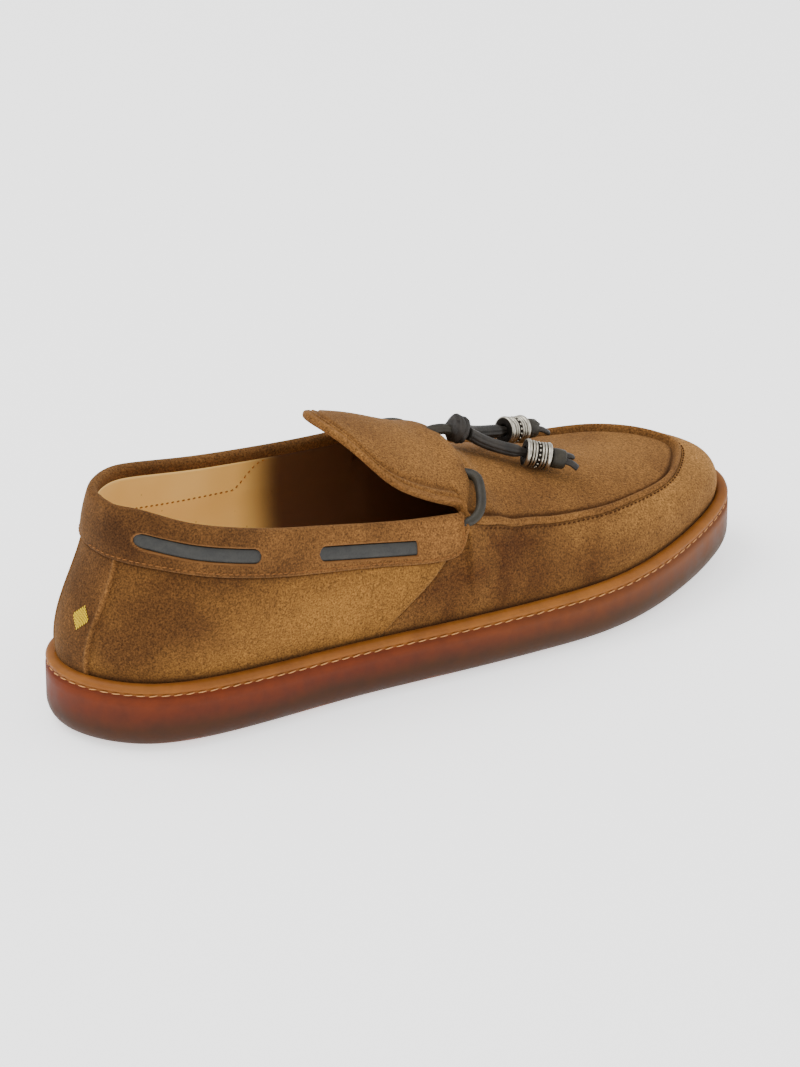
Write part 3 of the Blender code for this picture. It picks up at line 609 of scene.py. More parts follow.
def threadLook(name, colour):
    recipe = Recipe(name)
    twist = recipe.noise(2500.0, 1.0)
    tint = recipe.ramp(twist, (0.3, tuple(c * 0.8 for c in colour[:3]) + (1,)), (0.7, colour))
    return recipe.finish(tint, recipe.bump(twist, 0.0001, 0.4), 0.85, Specular_IOR_Level=0.08)


upperThread = threadLook("upperThread", linear(126, 82, 44))
darkThread = threadLook("darkThread", linear(66, 40, 18))
soleThread = threadLook("soleThread", linear(190, 136, 86))
liningThread = threadLook("liningThread", linear(150, 100, 48))
yellowThread = threadLook("yellowThread", linear(224, 190, 48))
print("materials ready")


# pitch, length and radius of the thread, slant
stitches = {
    "sole": (0.0046, 0.0034, 0.00026, 0.10),
    "band": (0.0025, 0.0018, 0.00024, 0.12),
    "apron": (0.0023, 0.0015, 0.00036, 0.30),
    "lining": (0.0024, 0.0013, 0.00034, 0.15),
    "motif": (0.0008, 0.0011, 0.00022, 0.0),
    "dots": (0.0019, 0.0011, 0.00042, 0.0),
}


def stitchTree():
    # Thread along a line: one small capsule at every pitch, turned along the line
    tree = bpy.data.node_groups.new("stitchRun", "GeometryNodeTree")
    face = tree.interface
    face.new_socket("Geometry", in_out="INPUT", socket_type="NodeSocketGeometry")
    for name in ("Pitch", "Stitch length", "Thread radius", "Slant"):
        face.new_socket(name, in_out="INPUT", socket_type="NodeSocketFloat")
    face.new_socket("Thread", in_out="INPUT", socket_type="NodeSocketMaterial")
    face.new_socket("Geometry", in_out="OUTPUT", socket_type="NodeSocketGeometry")
    kinds = {
        "given": "NodeGroupInput", "points": "GeometryNodeCurveToPoints",
        "capsule": "GeometryNodeMeshUVSphere", "half": "ShaderNodeMath", "size": "ShaderNodeCombineXYZ",
        "turn": "FunctionNodeRotateRotation", "jitter": "FunctionNodeRandomValue",
        "lean": "ShaderNodeMath", "angle": "ShaderNodeCombineXYZ",
        "rotation": "FunctionNodeEulerToRotation", "place": "GeometryNodeInstanceOnPoints",
        "real": "GeometryNodeRealizeInstances", "smoothed": "GeometryNodeSetShadeSmooth",
        "paint": "GeometryNodeSetMaterial", "result": "NodeGroupOutput",
    }
    nodes = {name: tree.nodes.new(kind) for name, kind in kinds.items()}
    nodes["points"].mode = "LENGTH"
    nodes["half"].operation = "MULTIPLY"
    nodes["turn"].rotation_space = "LOCAL"
    nodes["jitter"].data_type = "FLOAT"
    for name, socket, value in (
        ("capsule", "Segments", 8), ("capsule", "Rings", 6), ("capsule", "Radius", 1.0),
        ("half", 1, 0.5), ("jitter", 2, -0.07), ("jitter", 3, 0.07), ("jitter", "Seed", 7),
    ):
        nodes[name].inputs[socket].default_value = value
    for start, output, end, socket in (
        ("given", "Geometry", "points", "Curve"), ("given", "Pitch", "points", "Length"),
        ("given", "Stitch length", "half", 0), ("half", 0, "size", "Z"),
        ("given", "Thread radius", "size", "X"), ("given", "Thread radius", "size", "Y"),
        ("given", "Slant", "lean", 0), ("jitter", 1, "lean", 1), ("lean", 0, "angle", "X"),
        ("angle", 0, "rotation", 0), ("points", "Rotation", "turn", "Rotation"),
        ("rotation", 0, "turn", "Rotate By"), ("points", "Points", "place", "Points"),
        ("capsule", "Mesh", "place", "Instance"), ("turn", 0, "place", "Rotation"),
        ("size", 0, "place", "Scale"), ("place", 0, "real", 0), ("real", 0, "smoothed", 0),
        ("smoothed", 0, "paint", "Geometry"), ("given", "Thread", "paint", "Material"),
        ("paint", 0, "result", 0),
    ):
        tree.links.new(nodes[start].outputs[output], nodes[end].inputs[socket])
    return tree


stitchRun = stitchTree()


def sew(name, runs, thread, slot, kind):
    # Runs are lines of points in the shoe's own frame
    pitch, stitchLength, radius, slant = stitches[kind]
    line = bpy.data.curves.new(name, "CURVE")
    line.dimensions = "3D"
    for run in runs:
        run = evenly(run, pitch / 4) + toWorld
        path = line.splines.new("POLY")
        path.points.add(len(run) - 1)
        for point, place in zip(path.points, run):
            point.co = (*place, 1)
    source = linked(name + "Line", line)
    maker = source.modifiers.new("stitches", "NODES")
    maker.node_group = stitchRun
    values = {
        "Pitch": pitch, "Stitch length": stitchLength, "Thread radius": radius,
        "Slant": slant, "Thread": thread,
    }
    for item in stitchRun.interface.items_tree:
        if item.in_out == "INPUT" and item.name in values:
            maker[item.identifier] = values[item.name]
    mesh = evaluatedMesh(source)
    bpy.data.objects.remove(source)
    piece = linked(name, mesh)
    finishPiece(piece, thread, slot)
    return piece


# Sole
sole = {
    "bottomRound": 0.0090,
    "grooveDrop": 0.0036,
    "grooveDepth": 0.0011,
    "treadPitch": 0.0062,
    "treadDepth": 0.0009,
    "columns": 260,
}


def soleLook():
    # Gum rubber: tan rim, red amber under the stitches, darker towards the floor as painted shade
    recipe = Recipe("gumRubber")
    rise = recipe.attribute("rise")
    cloud = recipe.noise(24.0, 3.0, 0.6)
    streak = recipe.noise(150.0, 3.0, 0.6)
    level = recipe.maths("ADD", rise, recipe.maths("MULTIPLY_ADD", cloud, 0.36, -0.18))
    red = recipe.ramp(
        level, (0.00, linear(110, 54, 24)), (0.10, linear(54, 30, 14)), (0.34, linear(58, 31, 14)),
        (0.58, linear(80, 32, 12)), (0.80, linear(94, 38, 12)),
    )
    brown = recipe.ramp(
        level, (0.00, linear(84, 48, 26)), (0.12, linear(56, 36, 19)), (0.40, linear(64, 40, 20)),
        (0.62, linear(84, 46, 20)), (0.80, linear(100, 56, 24)),
    )
    apart = recipe.add("ShaderNodeSeparateXYZ")
    recipe.put(recipe.place, apart, 0)
    ahead = recipe.maths("MULTIPLY_ADD", apart.outputs["X"], 6.0, 0.25, clamp=True)
    rim = recipe.ramp(cloud, (0.3, linear(112, 64, 24)), (0.7, linear(130, 80, 30)))
    onRim = recipe.ramp(rise, (0.865, 0.0), (0.885, 1.0))
    colour = recipe.blend(onRim, recipe.blend(ahead, red, brown), rim)
    colour = recipe.blend(1.0, colour, recipe.ramp(streak, (0.3, 0.82), (0.7, 1.12)), "MULTIPLY")
    rough = recipe.ramp(streak, (0.3, 0.48), (0.7, 0.62))
    return recipe.finish(colour, recipe.bump(streak, 0.0003, 0.25), rough, Specular_IOR_Level=0.14)


def soleRing(inset, ways):
    curves = sideCurves(soleLoop - soleOut * inset)
    lateral = onCurve(curves, "lateral", ways)[0]
    medial = onCurve(curves, "medial", ways)[0]
    return np.vstack([lateral, medial[-2:0:-1]])


def capGrid(ring, steps, shape):
    # Rings inside a closed ring, shrinking on to its own long middle line
    low, high = ring[:, 0].min(), ring[:, 0].max()
    reach = (high - low) * 0.12
    middleX = np.clip(ring[:, 0], low + reach, high - reach)
    knots = np.linspace(low, high, 7)
    middleY = spline(knots, middleLine(ring, knots))(middleX)[:, 0]
    spine = np.stack([middleX, middleY], axis=1)
    rings = []
    for share in steps:
        plan = ring[:, :2] + (spine - ring[:, :2]) * share
        rings.append(withHeight(plan, shape(plan, share)))
    return rings


def middleLine(ring, places):
    # Halfway between the two sides of a ring
    half = int(ring[:, 0].argmax())
    first, second = ring[:half + 1], np.vstack([ring[half:], ring[:1]])[::-1]
    order = np.argsort(second[:, 0])
    a = np.interp(places, first[:, 0], first[:, 1])
    b = np.interp(places, second[order, 0], second[order, 1])
    return (a + b) / 2


def bottomShape(plan, share):
    # Cross grooves, fading out at the lower edge
    wave = plan[:, 0] / sole["treadPitch"] * 2 * math.pi + 1.3 * np.sin(plan[:, 1] / 0.007)
    tread = sole["treadDepth"] * smooth(np.cos(wave), 0.1, 0.6)
    return bottomHeight(plan[:, 0]) + tread * smooth(share, 0.02, 0.10)


def makeSole():
    ways = np.linspace(0, 1, sole["columns"] // 2 + 1)
    rings, rises = [], []

    def add(inset, height, rise):
        plan = soleRing(inset, ways)
        rings.append(withHeight(plan, height(plan[:, 0])))
        rises.append(rise)

    def addCap(inset, steps, shape, rise):
        for ring in capGrid(soleRing(inset, ways), steps, shape):
            rings.append(ring)
            rises.append(rise)

    low, drop, deep = sole["bottomRound"], sole["grooveDrop"], sole["grooveDepth"]
    onRim = 0.95
    addCap(low, np.linspace(1, 0, 40), bottomShape, 0.0)
    for degrees in np.linspace(78, 0, 9):
        angle = math.radians(degrees)
        rise = low * (1 - math.sin(angle))
        add(low * (1 - math.cos(angle)), lambda x: bottomHeight(x) + rise, rise / last["rim"])
    for share in (0.25, 0.5, 0.75):
        add(0.0, lambda x: (
            (bottomHeight(x) + low) * (1 - share) + (rimHeight(x) - drop - deep * 1.4) * share
        ), 0.36 + 0.48 * share)
    # how far in, how far below the rim's top: the stitch groove, then over the rim
    for inset, down in (
        (0.0000, drop + deep * 1.4), (deep * 0.5, drop + deep * 0.95), (deep, drop + deep * 0.4),
        (deep, drop - deep * 0.4), (deep * 0.45, drop - deep * 0.9), (deep * 0.1, drop - deep * 1.5),
        (0.0004, 0.0012), (0.0010, 0.0005), (0.0018, 0.0001), (0.0028, 0.0), (0.0040, 0.0001),
        (0.0046, 0.0004), (0.0050, 0.0010),
    ):
        add(inset, lambda x: rimHeight(x) - down, 0.86 if down > drop else onRim)
    add(last["rimWidth"], lambda x: bottomHeight(x) + last["floor"], onRim)
    addCap(
        last["rimWidth"], np.linspace(0.1, 1, 8),
        lambda plan, share: bottomHeight(plan[:, 0]) + last["floor"], onRim,
    )
    grid = np.array(rings)
    piece = gridPiece("soleBody", grid, wrap=True)
    addValues(piece, "rise", np.repeat(rises, grid.shape[1]))
    mergeDoubles(piece)
    finishPiece(piece, soleLook(), "gum", "sole")
    plan = soleRing(deep * 0.55, np.linspace(0, 1, 400))
    run = withHeight(plan, rimHeight(plan[:, 0]) - drop)
    run = np.vstack([run, run[:1]])
    sew("soleStitches", [run], soleThread, "gum", "sole")


# Collar band
band = {
    "step": 0.0020,
    "crest": 0.0022,
    "bulge": 0.0006,
    "edge": 0.0012,          # rolled lower edge
    "binding": 0.0034,       # suede turned over to the inside
    "tall": 0.018,           # usual height, for the binding's share of it
    "endFine": 0.004,        # way near the front ends that gets finer columns
    "thick": 0.0012,
    "stitchRise": 0.0020,
    "windowHalf": 0.00275,
    "windowDepth": 0.0021,
    # light and dark areas: the nap's own tone with painted sheen and shade
    "toneAndPaintedLight": [
        (10, 80, 24, 16, -0.9), (48, 78, 16, 5, -0.4), (70, 62, 20, 5, -0.3),
        (98, 62, 22, 8, 0.5), (140, 56, 14, 8, 0.6), (150, 62, 8, 4, 0.4),
    ],
}
# shares of the band's length, place in its height at each end, front end square
windows = {
    "rear": (0.045, 0.347, 0.53, 0.51, False),
    "front": (0.527, 0.832, 0.48, 0.44, True),
}


bandLength = (last["corner"] - last["lineHeel"]) * last["length"]


def bandWay(share):
    place = share * (last["corner"] - last["lineHeel"])
    return np.arccos(1 - 2 * place / (last["lineToe"] - last["lineHeel"])) / math.pi


def bandTall(way):
    return np.linalg.norm(onBothSides(bandPoint, way, 1.0) - onBothSides(bandPoint, way, 0.0), axis=-1)


def bandHeights(way, rise):
    # Rolled lower and front edges, a sunk slot for each window, and its raw cut edge
    share = (1 - np.cos(np.abs(way) * math.pi)) / 2 * (last["lineToe"] - last["lineHeel"])
    along = share * last["length"]
    tall = bandTall(way)
    up = rise * tall
    height = np.minimum(*[rolled(away, band["edge"], band["step"]) for away in (up, bandLength - along)])
    cut = np.zeros(np.shape(way))
    half = band["windowHalf"]
    for start, end, riseStart, riseEnd, square in windows.values():
        low, high = start * bandLength, end * bandLength
        done = np.clip((along - low) / (high - low), 0, 1)
        off = up - (riseStart + (riseEnd - riseStart) * done) * tall
        nearEnd = np.clip(along, low + half, high - (0 if square else half))
        distance = np.hypot(along - nearEnd, off)
        if square:
            box = np.maximum(np.abs(off), (along - high) + half)
            distance = np.where(along > high - half, box, distance)
        height = height - (1 - smooth(distance, half - 0.0002, half + 0.00035)) * band["windowDepth"]
        cut = np.maximum(cut, hill(distance - half, 0.0002, 0.0003))
    return height, cut


def makeBand():
    ways = bandWay(np.linspace(0, 1, 330))
    ways = np.concatenate([-ways[::-1], ways[1:]])
    edge = bandWay(1.0)
    fine = edge - (1 - np.linspace(0, 1, 9)**0.5) * band["endFine"]
    ways = np.unique(np.concatenate([ways[np.abs(ways) < edge - band["endFine"]], fine, -fine]))
    way, rise = np.meshgrid(ways, np.concatenate([np.linspace(0, 0.09, 10), np.linspace(0.11, 1, 44)]))
    height, cut = bandHeights(way, rise)
    rows = list(skin(bandPoint, way, rise, height))
    # crest: a half round from the outer face over to the inside
    outer = skin(bandPoint, ways, 1.0, band["step"])
    inner = skin(bandPoint, ways, 1.0, -last["wall"])
    up = unit(onBothSides(bandPoint, ways, 1.0) - onBothSides(bandPoint, ways, 0.9)) * band["crest"]
    for angle in np.radians(np.linspace(15, 165, 11)):
        rows.append((outer + inner) / 2 + (outer - inner) / 2 * math.cos(angle) + up * math.sin(angle))
    # binding: turned over to the inside, its end sunk into the wall
    for share, tuck in ((0.0, 0.0), (0.35, 0.0), (0.7, 0.0), (1.0, 0.0005)):
        rows.append(skin(bandPoint, ways, 1 - share * band["binding"] / band["tall"], tuck - last["wall"]))
    piece = gridPiece("collarBand", np.array(rows))
    addValues(piece, "cut", np.concatenate([cut, np.zeros((len(rows) - len(cut), len(ways)))]))
    thicken(piece, band["thick"])
    brush(piece, band["toneAndPaintedLight"], 2)
    finishPiece(piece, bandSuede, "suede", "upper")
    lines = []
    for sign in (1, -1):
        way = bandWay(np.linspace(0.0 if sign > 0 else 0.012, 0.968, 300)) * sign
        wayEnd = bandWay(np.full(20, 0.984)) * sign
        lines.append(np.vstack([
            skin(bandPoint, way, band["stitchRise"] / bandTall(way), band["step"] + 0.0001),
            skin(bandPoint, wayEnd, np.linspace(0.22, 0.93, 20), band["step"] + 0.0001),
        ]))
    sew("bandStitches", lines, upperThread, "suede", "band")


# Wall panels: quarters, vamp and back strip
panels = {
    "seam": (0.405, 0.487),  # place / length where the panels meet, at the sole and at the line
    "foot": 0.0025,          # how far the suede runs down behind the rim
    "quarterReach": 0.135,   # length of half a panel, for its rolled edges
    "vampReach": 0.35,
    "edge": 0.0009,
    "thick": 0.0010,
    "strip": 0.0236,
    "stripStep": 0.0009,
    "stripRoll": 0.0007,
    "stripRidge": 0.0005,
    "stripThick": 0.0011,
    "motifWay": 0.028,       # middle of the lozenge, way round and share of the height
    "motifShare": 0.46,
    "motifTall": 0.09,
    "motifWide": 0.016,
    "rows": 56,
    # light and dark areas of each panel: the nap's own tone with painted sheen and shade
    "quarterToneAndPaintedLight": [
        (24, 54, 26, 19, -1.1), (62, 64, 34, 6, -0.6), (92, 38, 42, 14, 0.7),
        (122, 52, 18, 14, 0.5), (14, 34, 10, 12, -0.4), (45, 32, 22, 8, 0.4),
    ],
    "vampToneAndPaintedLight": [
        (166, 38, 40, 24, -1.0), (205, 32, 24, 10, -0.5), (232, 42, 24, 8, 0.5),
        (264, 44, 24, 9, 0.9), (292, 36, 10, 14, 0.7), (176, 55, 12, 4, 0.3),
    ],
}


def seamWay(share):
    # The slanting join between quarter and vamp, at a share of the wall's height
    low, high = panels["seam"]
    place = low + (high - low) * np.asarray(share)
    return bandWay((place - last["lineHeel"]) / (last["corner"] - last["lineHeel"]))


wallShares = np.linspace(0, 1, panels["rows"])


def wallGrid(ways, shares, height):
    grid = skin(wallPoint, ways, shares, height)
    return np.concatenate([grid[:1] - [0, 0, panels["foot"]], grid])


def makePanel(name, way, share, arc, look, toneAndPaintedLight):
    # A suede sheet; arc is the distance to its nearer side edge, which is rolled
    grid = wallGrid(way, share, rolled(arc + 0.0002, panels["edge"], 0.0003))
    piece = gridPiece(name, grid)
    # painted shade: darker where the suede meets the sole and the raised seam
    rises = np.concatenate([[0], wallShares])
    dark = 0.7 * hill(rises, 0, 0.03) + 0.35 * hill(rises, 1, 0.03)
    addValues(piece, "shade", np.repeat(dark, grid.shape[1]))
    thicken(piece, panels["thick"])
    brush(piece, toneAndPaintedLight, 2)
    finishPiece(piece, look, "suede")


def makePanels():
    share, across = np.meshgrid(wallShares, np.linspace(-1, 1, 281), indexing="ij")
    arc = (1 - np.abs(across)) * panels["quarterReach"]
    makePanel("quarters", across * seamWay(share), share, arc, quarterSuede, panels["quarterToneAndPaintedLight"])
    share, across = np.meshgrid(wallShares, np.linspace(0, 1, 361), indexing="ij")
    start = seamWay(share)
    arc = (0.5 - np.abs(across - 0.5)) * panels["vampReach"]
    makePanel("vamp", start + across * (2 - 2 * start), share, arc, vampSuede, panels["vampToneAndPaintedLight"])


def makeBackStrip():
    half = panels["strip"] / 2
    across = np.linspace(-1, 1, 61)
    arc = np.sign(across) * half * (1 - (1 - np.abs(across))**1.6)
    ways = np.linspace(0, 0.3, 200)
    sideways = np.abs(onCurve(seatCurves, "lateral", ways)[0][:, 1])
    way = np.sign(arc) * np.interp(np.abs(arc), sideways, ways)
    inset = half - np.abs(arc)
    height = rolled(inset, panels["stripRoll"], panels["stripStep"])
    height = height + panels["stripRidge"] * hill(inset, 0.0010, 0.0006)
    share, way = np.meshgrid(wallShares, way, indexing="ij")
    grid = wallGrid(way, share, np.broadcast_to(height, share.shape) + 0.0003)
    piece = gridPiece("backStrip", grid)
    # a painted highlight along the crest of each rolled edge, darker elsewhere
    addValues(piece, "toneAndPaintedLight", np.broadcast_to(hill(inset, 0.0007, 0.0007) - 0.5, grid.shape[:2]))
    thicken(piece, panels["stripThick"])
    finishPiece(piece, bandSuede, "suede")
    # plain embroidered lozenge
    runs = []
    for step in np.linspace(-1, 1, 11):
        reach = (1 - abs(step)) * panels["motifTall"] + 0.01
        rise = panels["motifShare"] + np.linspace(-reach, reach, 8)
        way = np.full(8, panels["motifWay"] + step * panels["motifWide"])
        runs.append(skin(wallPoint, way, rise, 0.0013))
    sew("motif", runs, yellowThread, "suede", "motif")


# Apron and tongue
apron = {
    "lipHeight": 0.0022,
    "lipRoll": 0.00135,      # half the roll's width
    "ditch": 0.0010,
    "hem": 0.0032,
    "hemWidth": 0.0042,
    "wall": 0.0018,
    "fold": 0.0012,
    "foldDip": 0.0009,
    "foldBow": 0.047,
    # light and dark areas, partly the nap's own tone and partly painted sheen; the first mark is painted
    # shadow under the beads, the last three painted shade round the lace holes
    "toneAndPaintedLight": [
        (200, -24, 26, 8, -0.55), (177, -14, 10, 9, 0.5), (232, 4, 28, 18, 0.6), (264, -14, 8, 14, -0.5),
        (210, 26, 24, 8, -0.4), (148, -14, 16, 14, 0.6), (128, 0, 8, 20, -0.3), (250, 22, 16, 6, -0.3),
        (168, -21, 3.5, 3.5, -1.0), (168, 25, 3.5, 3.5, -1.0), (167, 3.5, 3.5, 3.5, -1.0),
    ],
    # soft hollows and folds, with their depth
    "dents": [
        (186, -22, 16, 9, 0.9), (178, 22, 12, 9, 0.7), (205, 16, 20, 8, 0.5),
        (235, -6, 26, 14, -0.7), (215, -24, 22, 7, 0.5), (140, -10, 12, 12, 0.5), (150, 18, 10, 9, 0.5),
        (168, -21, 2.6, 2.6, 0.6), (168, 25, 2.6, 2.6, 0.6), (167, 3.5, 2.6, 2.6, 0.6),
    ],
    "spacing": 0.0011,       # between points round the rim
    "spine": (0.424, 0.86),  # where the rows end, place / length
    "rowsIn": [0, 1.5, 4, 8, 13, 17, 20, 22.5, 24.5, 26.5, 29, 32, 35, 39, 43, 48, 55, 66],
}


def apronRim():
    # Closed plan: round the toe on the line, then back round the tongue's edge
    front = np.linspace(cornerWay + 0.004, 2 - cornerWay - 0.004, 400)
    line = onBothSides(lambda side, way, share: linePoint(side, way)[0], front, 0.0)[:, :2]
    edge = np.array(tongueEdge)[::-1] * [last["length"], last["width"]]
    return line, through(edge, 260)


def softened(values):
    return (np.roll(values, 1, axis=0) + 2 * values + np.roll(values, -1, axis=0)) / 4


def makeApron():
    line, edge = apronRim()
    closed = np.vstack([line, edge, line[:1]])
    isTongue = np.concatenate([np.zeros(len(line)), np.ones(len(edge)), [0]])
    travel = np.concatenate([[0], np.cumsum(np.linalg.norm(np.diff(closed, axis=0), axis=1))])
    # twice as many points round the tongue's corners
    fine = np.abs(closed[:, 0] - (last["corner"] + last["throatBow"] / 2) * last["length"]) < 0.016
    effort = np.concatenate([[0], np.cumsum(np.diff(travel) * np.where(fine[1:], 2.0, 1.0))])
    places = np.interp(np.arange(0, effort[-1], apron["spacing"]), effort, travel)
    rim = np.stack([np.interp(places, travel, closed[:, i]) for i in range(2)], axis=1)
    onTongue = np.interp(places, travel, isTongue)
    for _ in range(6):
        rim, onTongue = softened(rim), softened(onTongue)
    spineX = np.clip(rim[:, 0], *[place * last["length"] for place in apron["spine"]])
    spineY = column(topLine, 1)(spineX / last["length"]) * last["width"]
    spine = np.stack([spineX, spineY], axis=1)
    reach = np.linalg.norm(spine - rim, axis=1)
    # rows at set distances from the rim, then evenly on to the spine
    distances = list(np.array(apron["rowsIn"]) * 0.0001)
    rows = [(np.full(len(rim), d), d / reach) for d in distances]
    inner = distances[-1]
    for share in np.linspace(0, 1, 40)[1:]:
        rows.append((inner + (reach - inner) * share, inner / reach + (1 - inner / reach) * share))
    distance = np.array([row[0] for row in rows])
    top = []
    for _, share in rows:
        plan = rim + (spine - rim) * share[:, None]
        top.append(withHeight(plan, topHeight(plan[:, 0], plan[:, 1])))
    top = np.array(top)
    around = np.roll(top, -1, axis=1) - np.roll(top, 1, axis=1)
    normal = unit(np.cross(around, np.gradient(top, axis=0)))
    normal *= np.sign(normal[..., 2:] + 1e-9)
    normal[-2:] = normal[-3]
    height = lipProfile(distance) * (1 - onTongue) + hemProfile(distance) * onTongue
    height = height - spots(top[..., 0], top[..., 1], apron["dents"]) / 1000 + crestFold(top)
    outer = top + normal * height[..., None]
    under = top - normal * (apron["wall"] * (1 - onTongue) + apron["hem"] * onTongue)[None, :, None]
    side = unit(np.append(rim - spine, np.zeros((len(rim), 1)), axis=1))
    mid, half = (outer[0] + under[0]) / 2, (outer[0] - under[0]) / 2
    edges = []
    for angle in np.radians([25, 55, 90, 125, 155]):
        edges.append(mid - half * math.cos(angle) + side * (0.0012 * onTongue * math.sin(angle))[:, None])
    # the underside needs fewer rows
    keep = {0, 5, 11, 17, len(rows) - 1, *range(20, len(rows), 4)}
    grid = np.concatenate([under[sorted(keep)[::-1]], np.array(edges), outer])
    piece = gridPiece("apronTongue", grid, wrap=True, flip=True)
    hidden = np.zeros((len(grid) - len(outer), len(rim)))
    # painted shade in the ditch inside the lip and in the hem's groove
    dark = 0.7 * hill(distance, 0.0036, 0.0011) * (1 - onTongue)
    dark = dark + 0.4 * hill(distance, apron["hemWidth"], 0.0008) * onTongue
    for name, values in (("shade", dark), ("cut", 0.5 * hill(distance, 0, 0.0007) * onTongue)):
        addValues(piece, name, np.concatenate([hidden, values]))
    mergeDoubles(piece, 0.00002)
    brush(piece, apron["toneAndPaintedLight"], 1)
    finishPiece(piece, apronSuede, "suede", "tongue")
    # thread at the foot of the raised seam
    front = np.linspace(cornerWay + 0.02, 2 - cornerWay - 0.02, 500)
    run = skin(wallPoint, front, 0.968, 0.0003)
    sew("apronStitches", [run], darkThread, "suede", "apron")


def lipProfile(distance):
    # One narrow roll, then a ditch before the apron
    half = apron["lipRoll"]
    roll = apron["lipHeight"] * np.sqrt(np.clip(1 - ((distance - half) / half)**2, 0, 1))
    ditch = apron["ditch"] * hill(distance, 2.35 * half, half * 0.6)
    edge = 0.0003 * (1 - smooth(distance, 0, 0.0004))
    return roll - ditch - edge


def hemProfile(distance):
    # Folded double edge: a roll, a crease and a shallow groove behind it
    crease = 0.0007 * hill(distance, 0.0016, 0.0004)
    groove = 0.0010 * hill(distance, apron["hemWidth"], 0.0009)
    return -groove - crease - 0.0003 * hill(distance, 0, 0.0010)


def crestFold(top):
    # Folded front edge of the tongue over the apron, at the lace holes
    ahead = top[..., 0] - throatX(top[..., 1], apron["foldBow"])
    fold = apron["fold"] * hill(np.clip(ahead + 0.0012, 0, None), 0, 0.0010)
    return fold * smooth(ahead, -0.014, -0.002) - apron["foldDip"] * hill(ahead, 0.0024, 0.0016)


# Lining and insole
inside = {
    "stitchRise": 0.05,      # stitch line, share of the collar band
    "stitchEnd": 0.66,
    "shade": (0.096, 0.118),  # where the lining turns dark under the instep: painted shade and the darker front lining
    "skin": 0.0009,
    "side": 0.0030,          # footbed: straight side, top, rounding and dish
    "top": 0.0045,
    "round": 0.0014,
    "dish": 0.0009,
}


def throatX(y, bow=last["throatBow"]):
    corners = [crestHalves[side][1][-1, 1] for side in ("lateral", "medial")]
    reach = np.clip(np.where(y < 0, y / corners[0], y / corners[1]), 0, 1)
    return last["length"] * (last["corner"] + bow * (1 - reach**3.5))


def roofPoint(side, way, share):
    # Under the apron, from the line to the throat
    line, _ = linePoint(side, way)
    inward = np.clip((way - cornerWay) / (1 - cornerWay), 0, 1)
    y = crestHalves[side][1][-1, 1] * (1 - inward)
    x = throatX(y)
    target = np.stack([x, y], axis=-1)
    plan = line[..., :2] + (target - line[..., :2]) * np.asarray(share)[..., None]
    return withHeight(plan, topHeight(plan[..., 0], plan[..., 1]))


def abovePoint(side, way, share):
    rear = bandPoint(side, np.minimum(way, cornerWay), share)
    front = roofPoint(side, np.maximum(way, cornerWay), share)
    return np.where((way > cornerWay)[..., None], front, rear)


def makeLining():
    ways = np.linspace(0, 2, 401)[:-1]
    rows = [skin(abovePoint, ways, rise, -last["wall"]) for rise in np.linspace(0.86, 0.0, 14)]
    rows += [skin(wallPoint, ways, share, -last["wall"]) for share in np.linspace(0.96, 0.0, 18)]
    rows.append(rows[-1] - [0, 0, 0.006])
    piece = gridPiece("lining", np.array(rows), wrap=True)
    thicken(piece, inside["skin"])
    # painted shade under the instep, with a darker front lining
    addValues(piece, "toneAndPaintedLight", smooth(placesOf(piece)[:, 0], *inside["shade"]))
    finishPiece(piece, liningLeather, "lining")
    lines = []
    for sign in (1, -1):
        shares = np.linspace(0, inside["stitchEnd"], 240)
        climb = smooth(shares, inside["stitchEnd"] - 0.10, inside["stitchEnd"])
        rise = inside["stitchRise"] + (0.8 - inside["stitchRise"]) * climb
        lines.append(skin(bandPoint, bandWay(shares) * sign, rise, -last["wall"] - 0.0001))
    sew("liningStitches", lines, liningThread, "lining", "lining")


def makeInsole():
    ways = np.linspace(0, 1, 101)
    inset = last["rimWidth"] + last["wall"] + 2 * last["gap"]

    def footbed(plan, rise):
        return bottomHeight(plan[:, 0]) + last["floor"] + last["gap"] + rise

    rings = []
    for aside, rise in ((0, 0), (0, inside["side"]), (0.0005, 0.0040), (inside["round"], inside["top"])):
        ring = soleRing(inset + aside, ways)
        rings.append(withHeight(ring, footbed(ring, rise)))
    rings += capGrid(ring, np.linspace(0.08, 1, 16), lambda plan, share: footbed(
        plan, inside["top"] - inside["dish"] * smooth(share, 0, 0.6)))
    plan = soleRing(inset, ways)
    under = capGrid(plan, np.linspace(1, 0.2, 4), lambda plan, share: footbed(plan, 0))
    piece = gridPiece("footbed", np.array(under + rings), wrap=True)
    mergeDoubles(piece)
    finishPiece(piece, liningLeather, "lining", "insole")


# Lace
lace = {
    "cord": 0.0044,
    "loopRadius": 0.46,      # share of the cord
    "stubRadius": 0.66,      # share of the strand
    "spread": 0.60,          # how much broader the free strand is than inside its bead
    "strand": 0.0038,
    "lead": 0.0006,
    "beadStart": 0.0010,
    "beadLength": 0.0100,
    "beadDiameter": 0.0110,
    "knotLength": 0.0084,
    "knotDiameter": 0.0102,
    "tipLength": 0.0070,
    "tipDiameter": 0.0078,
}
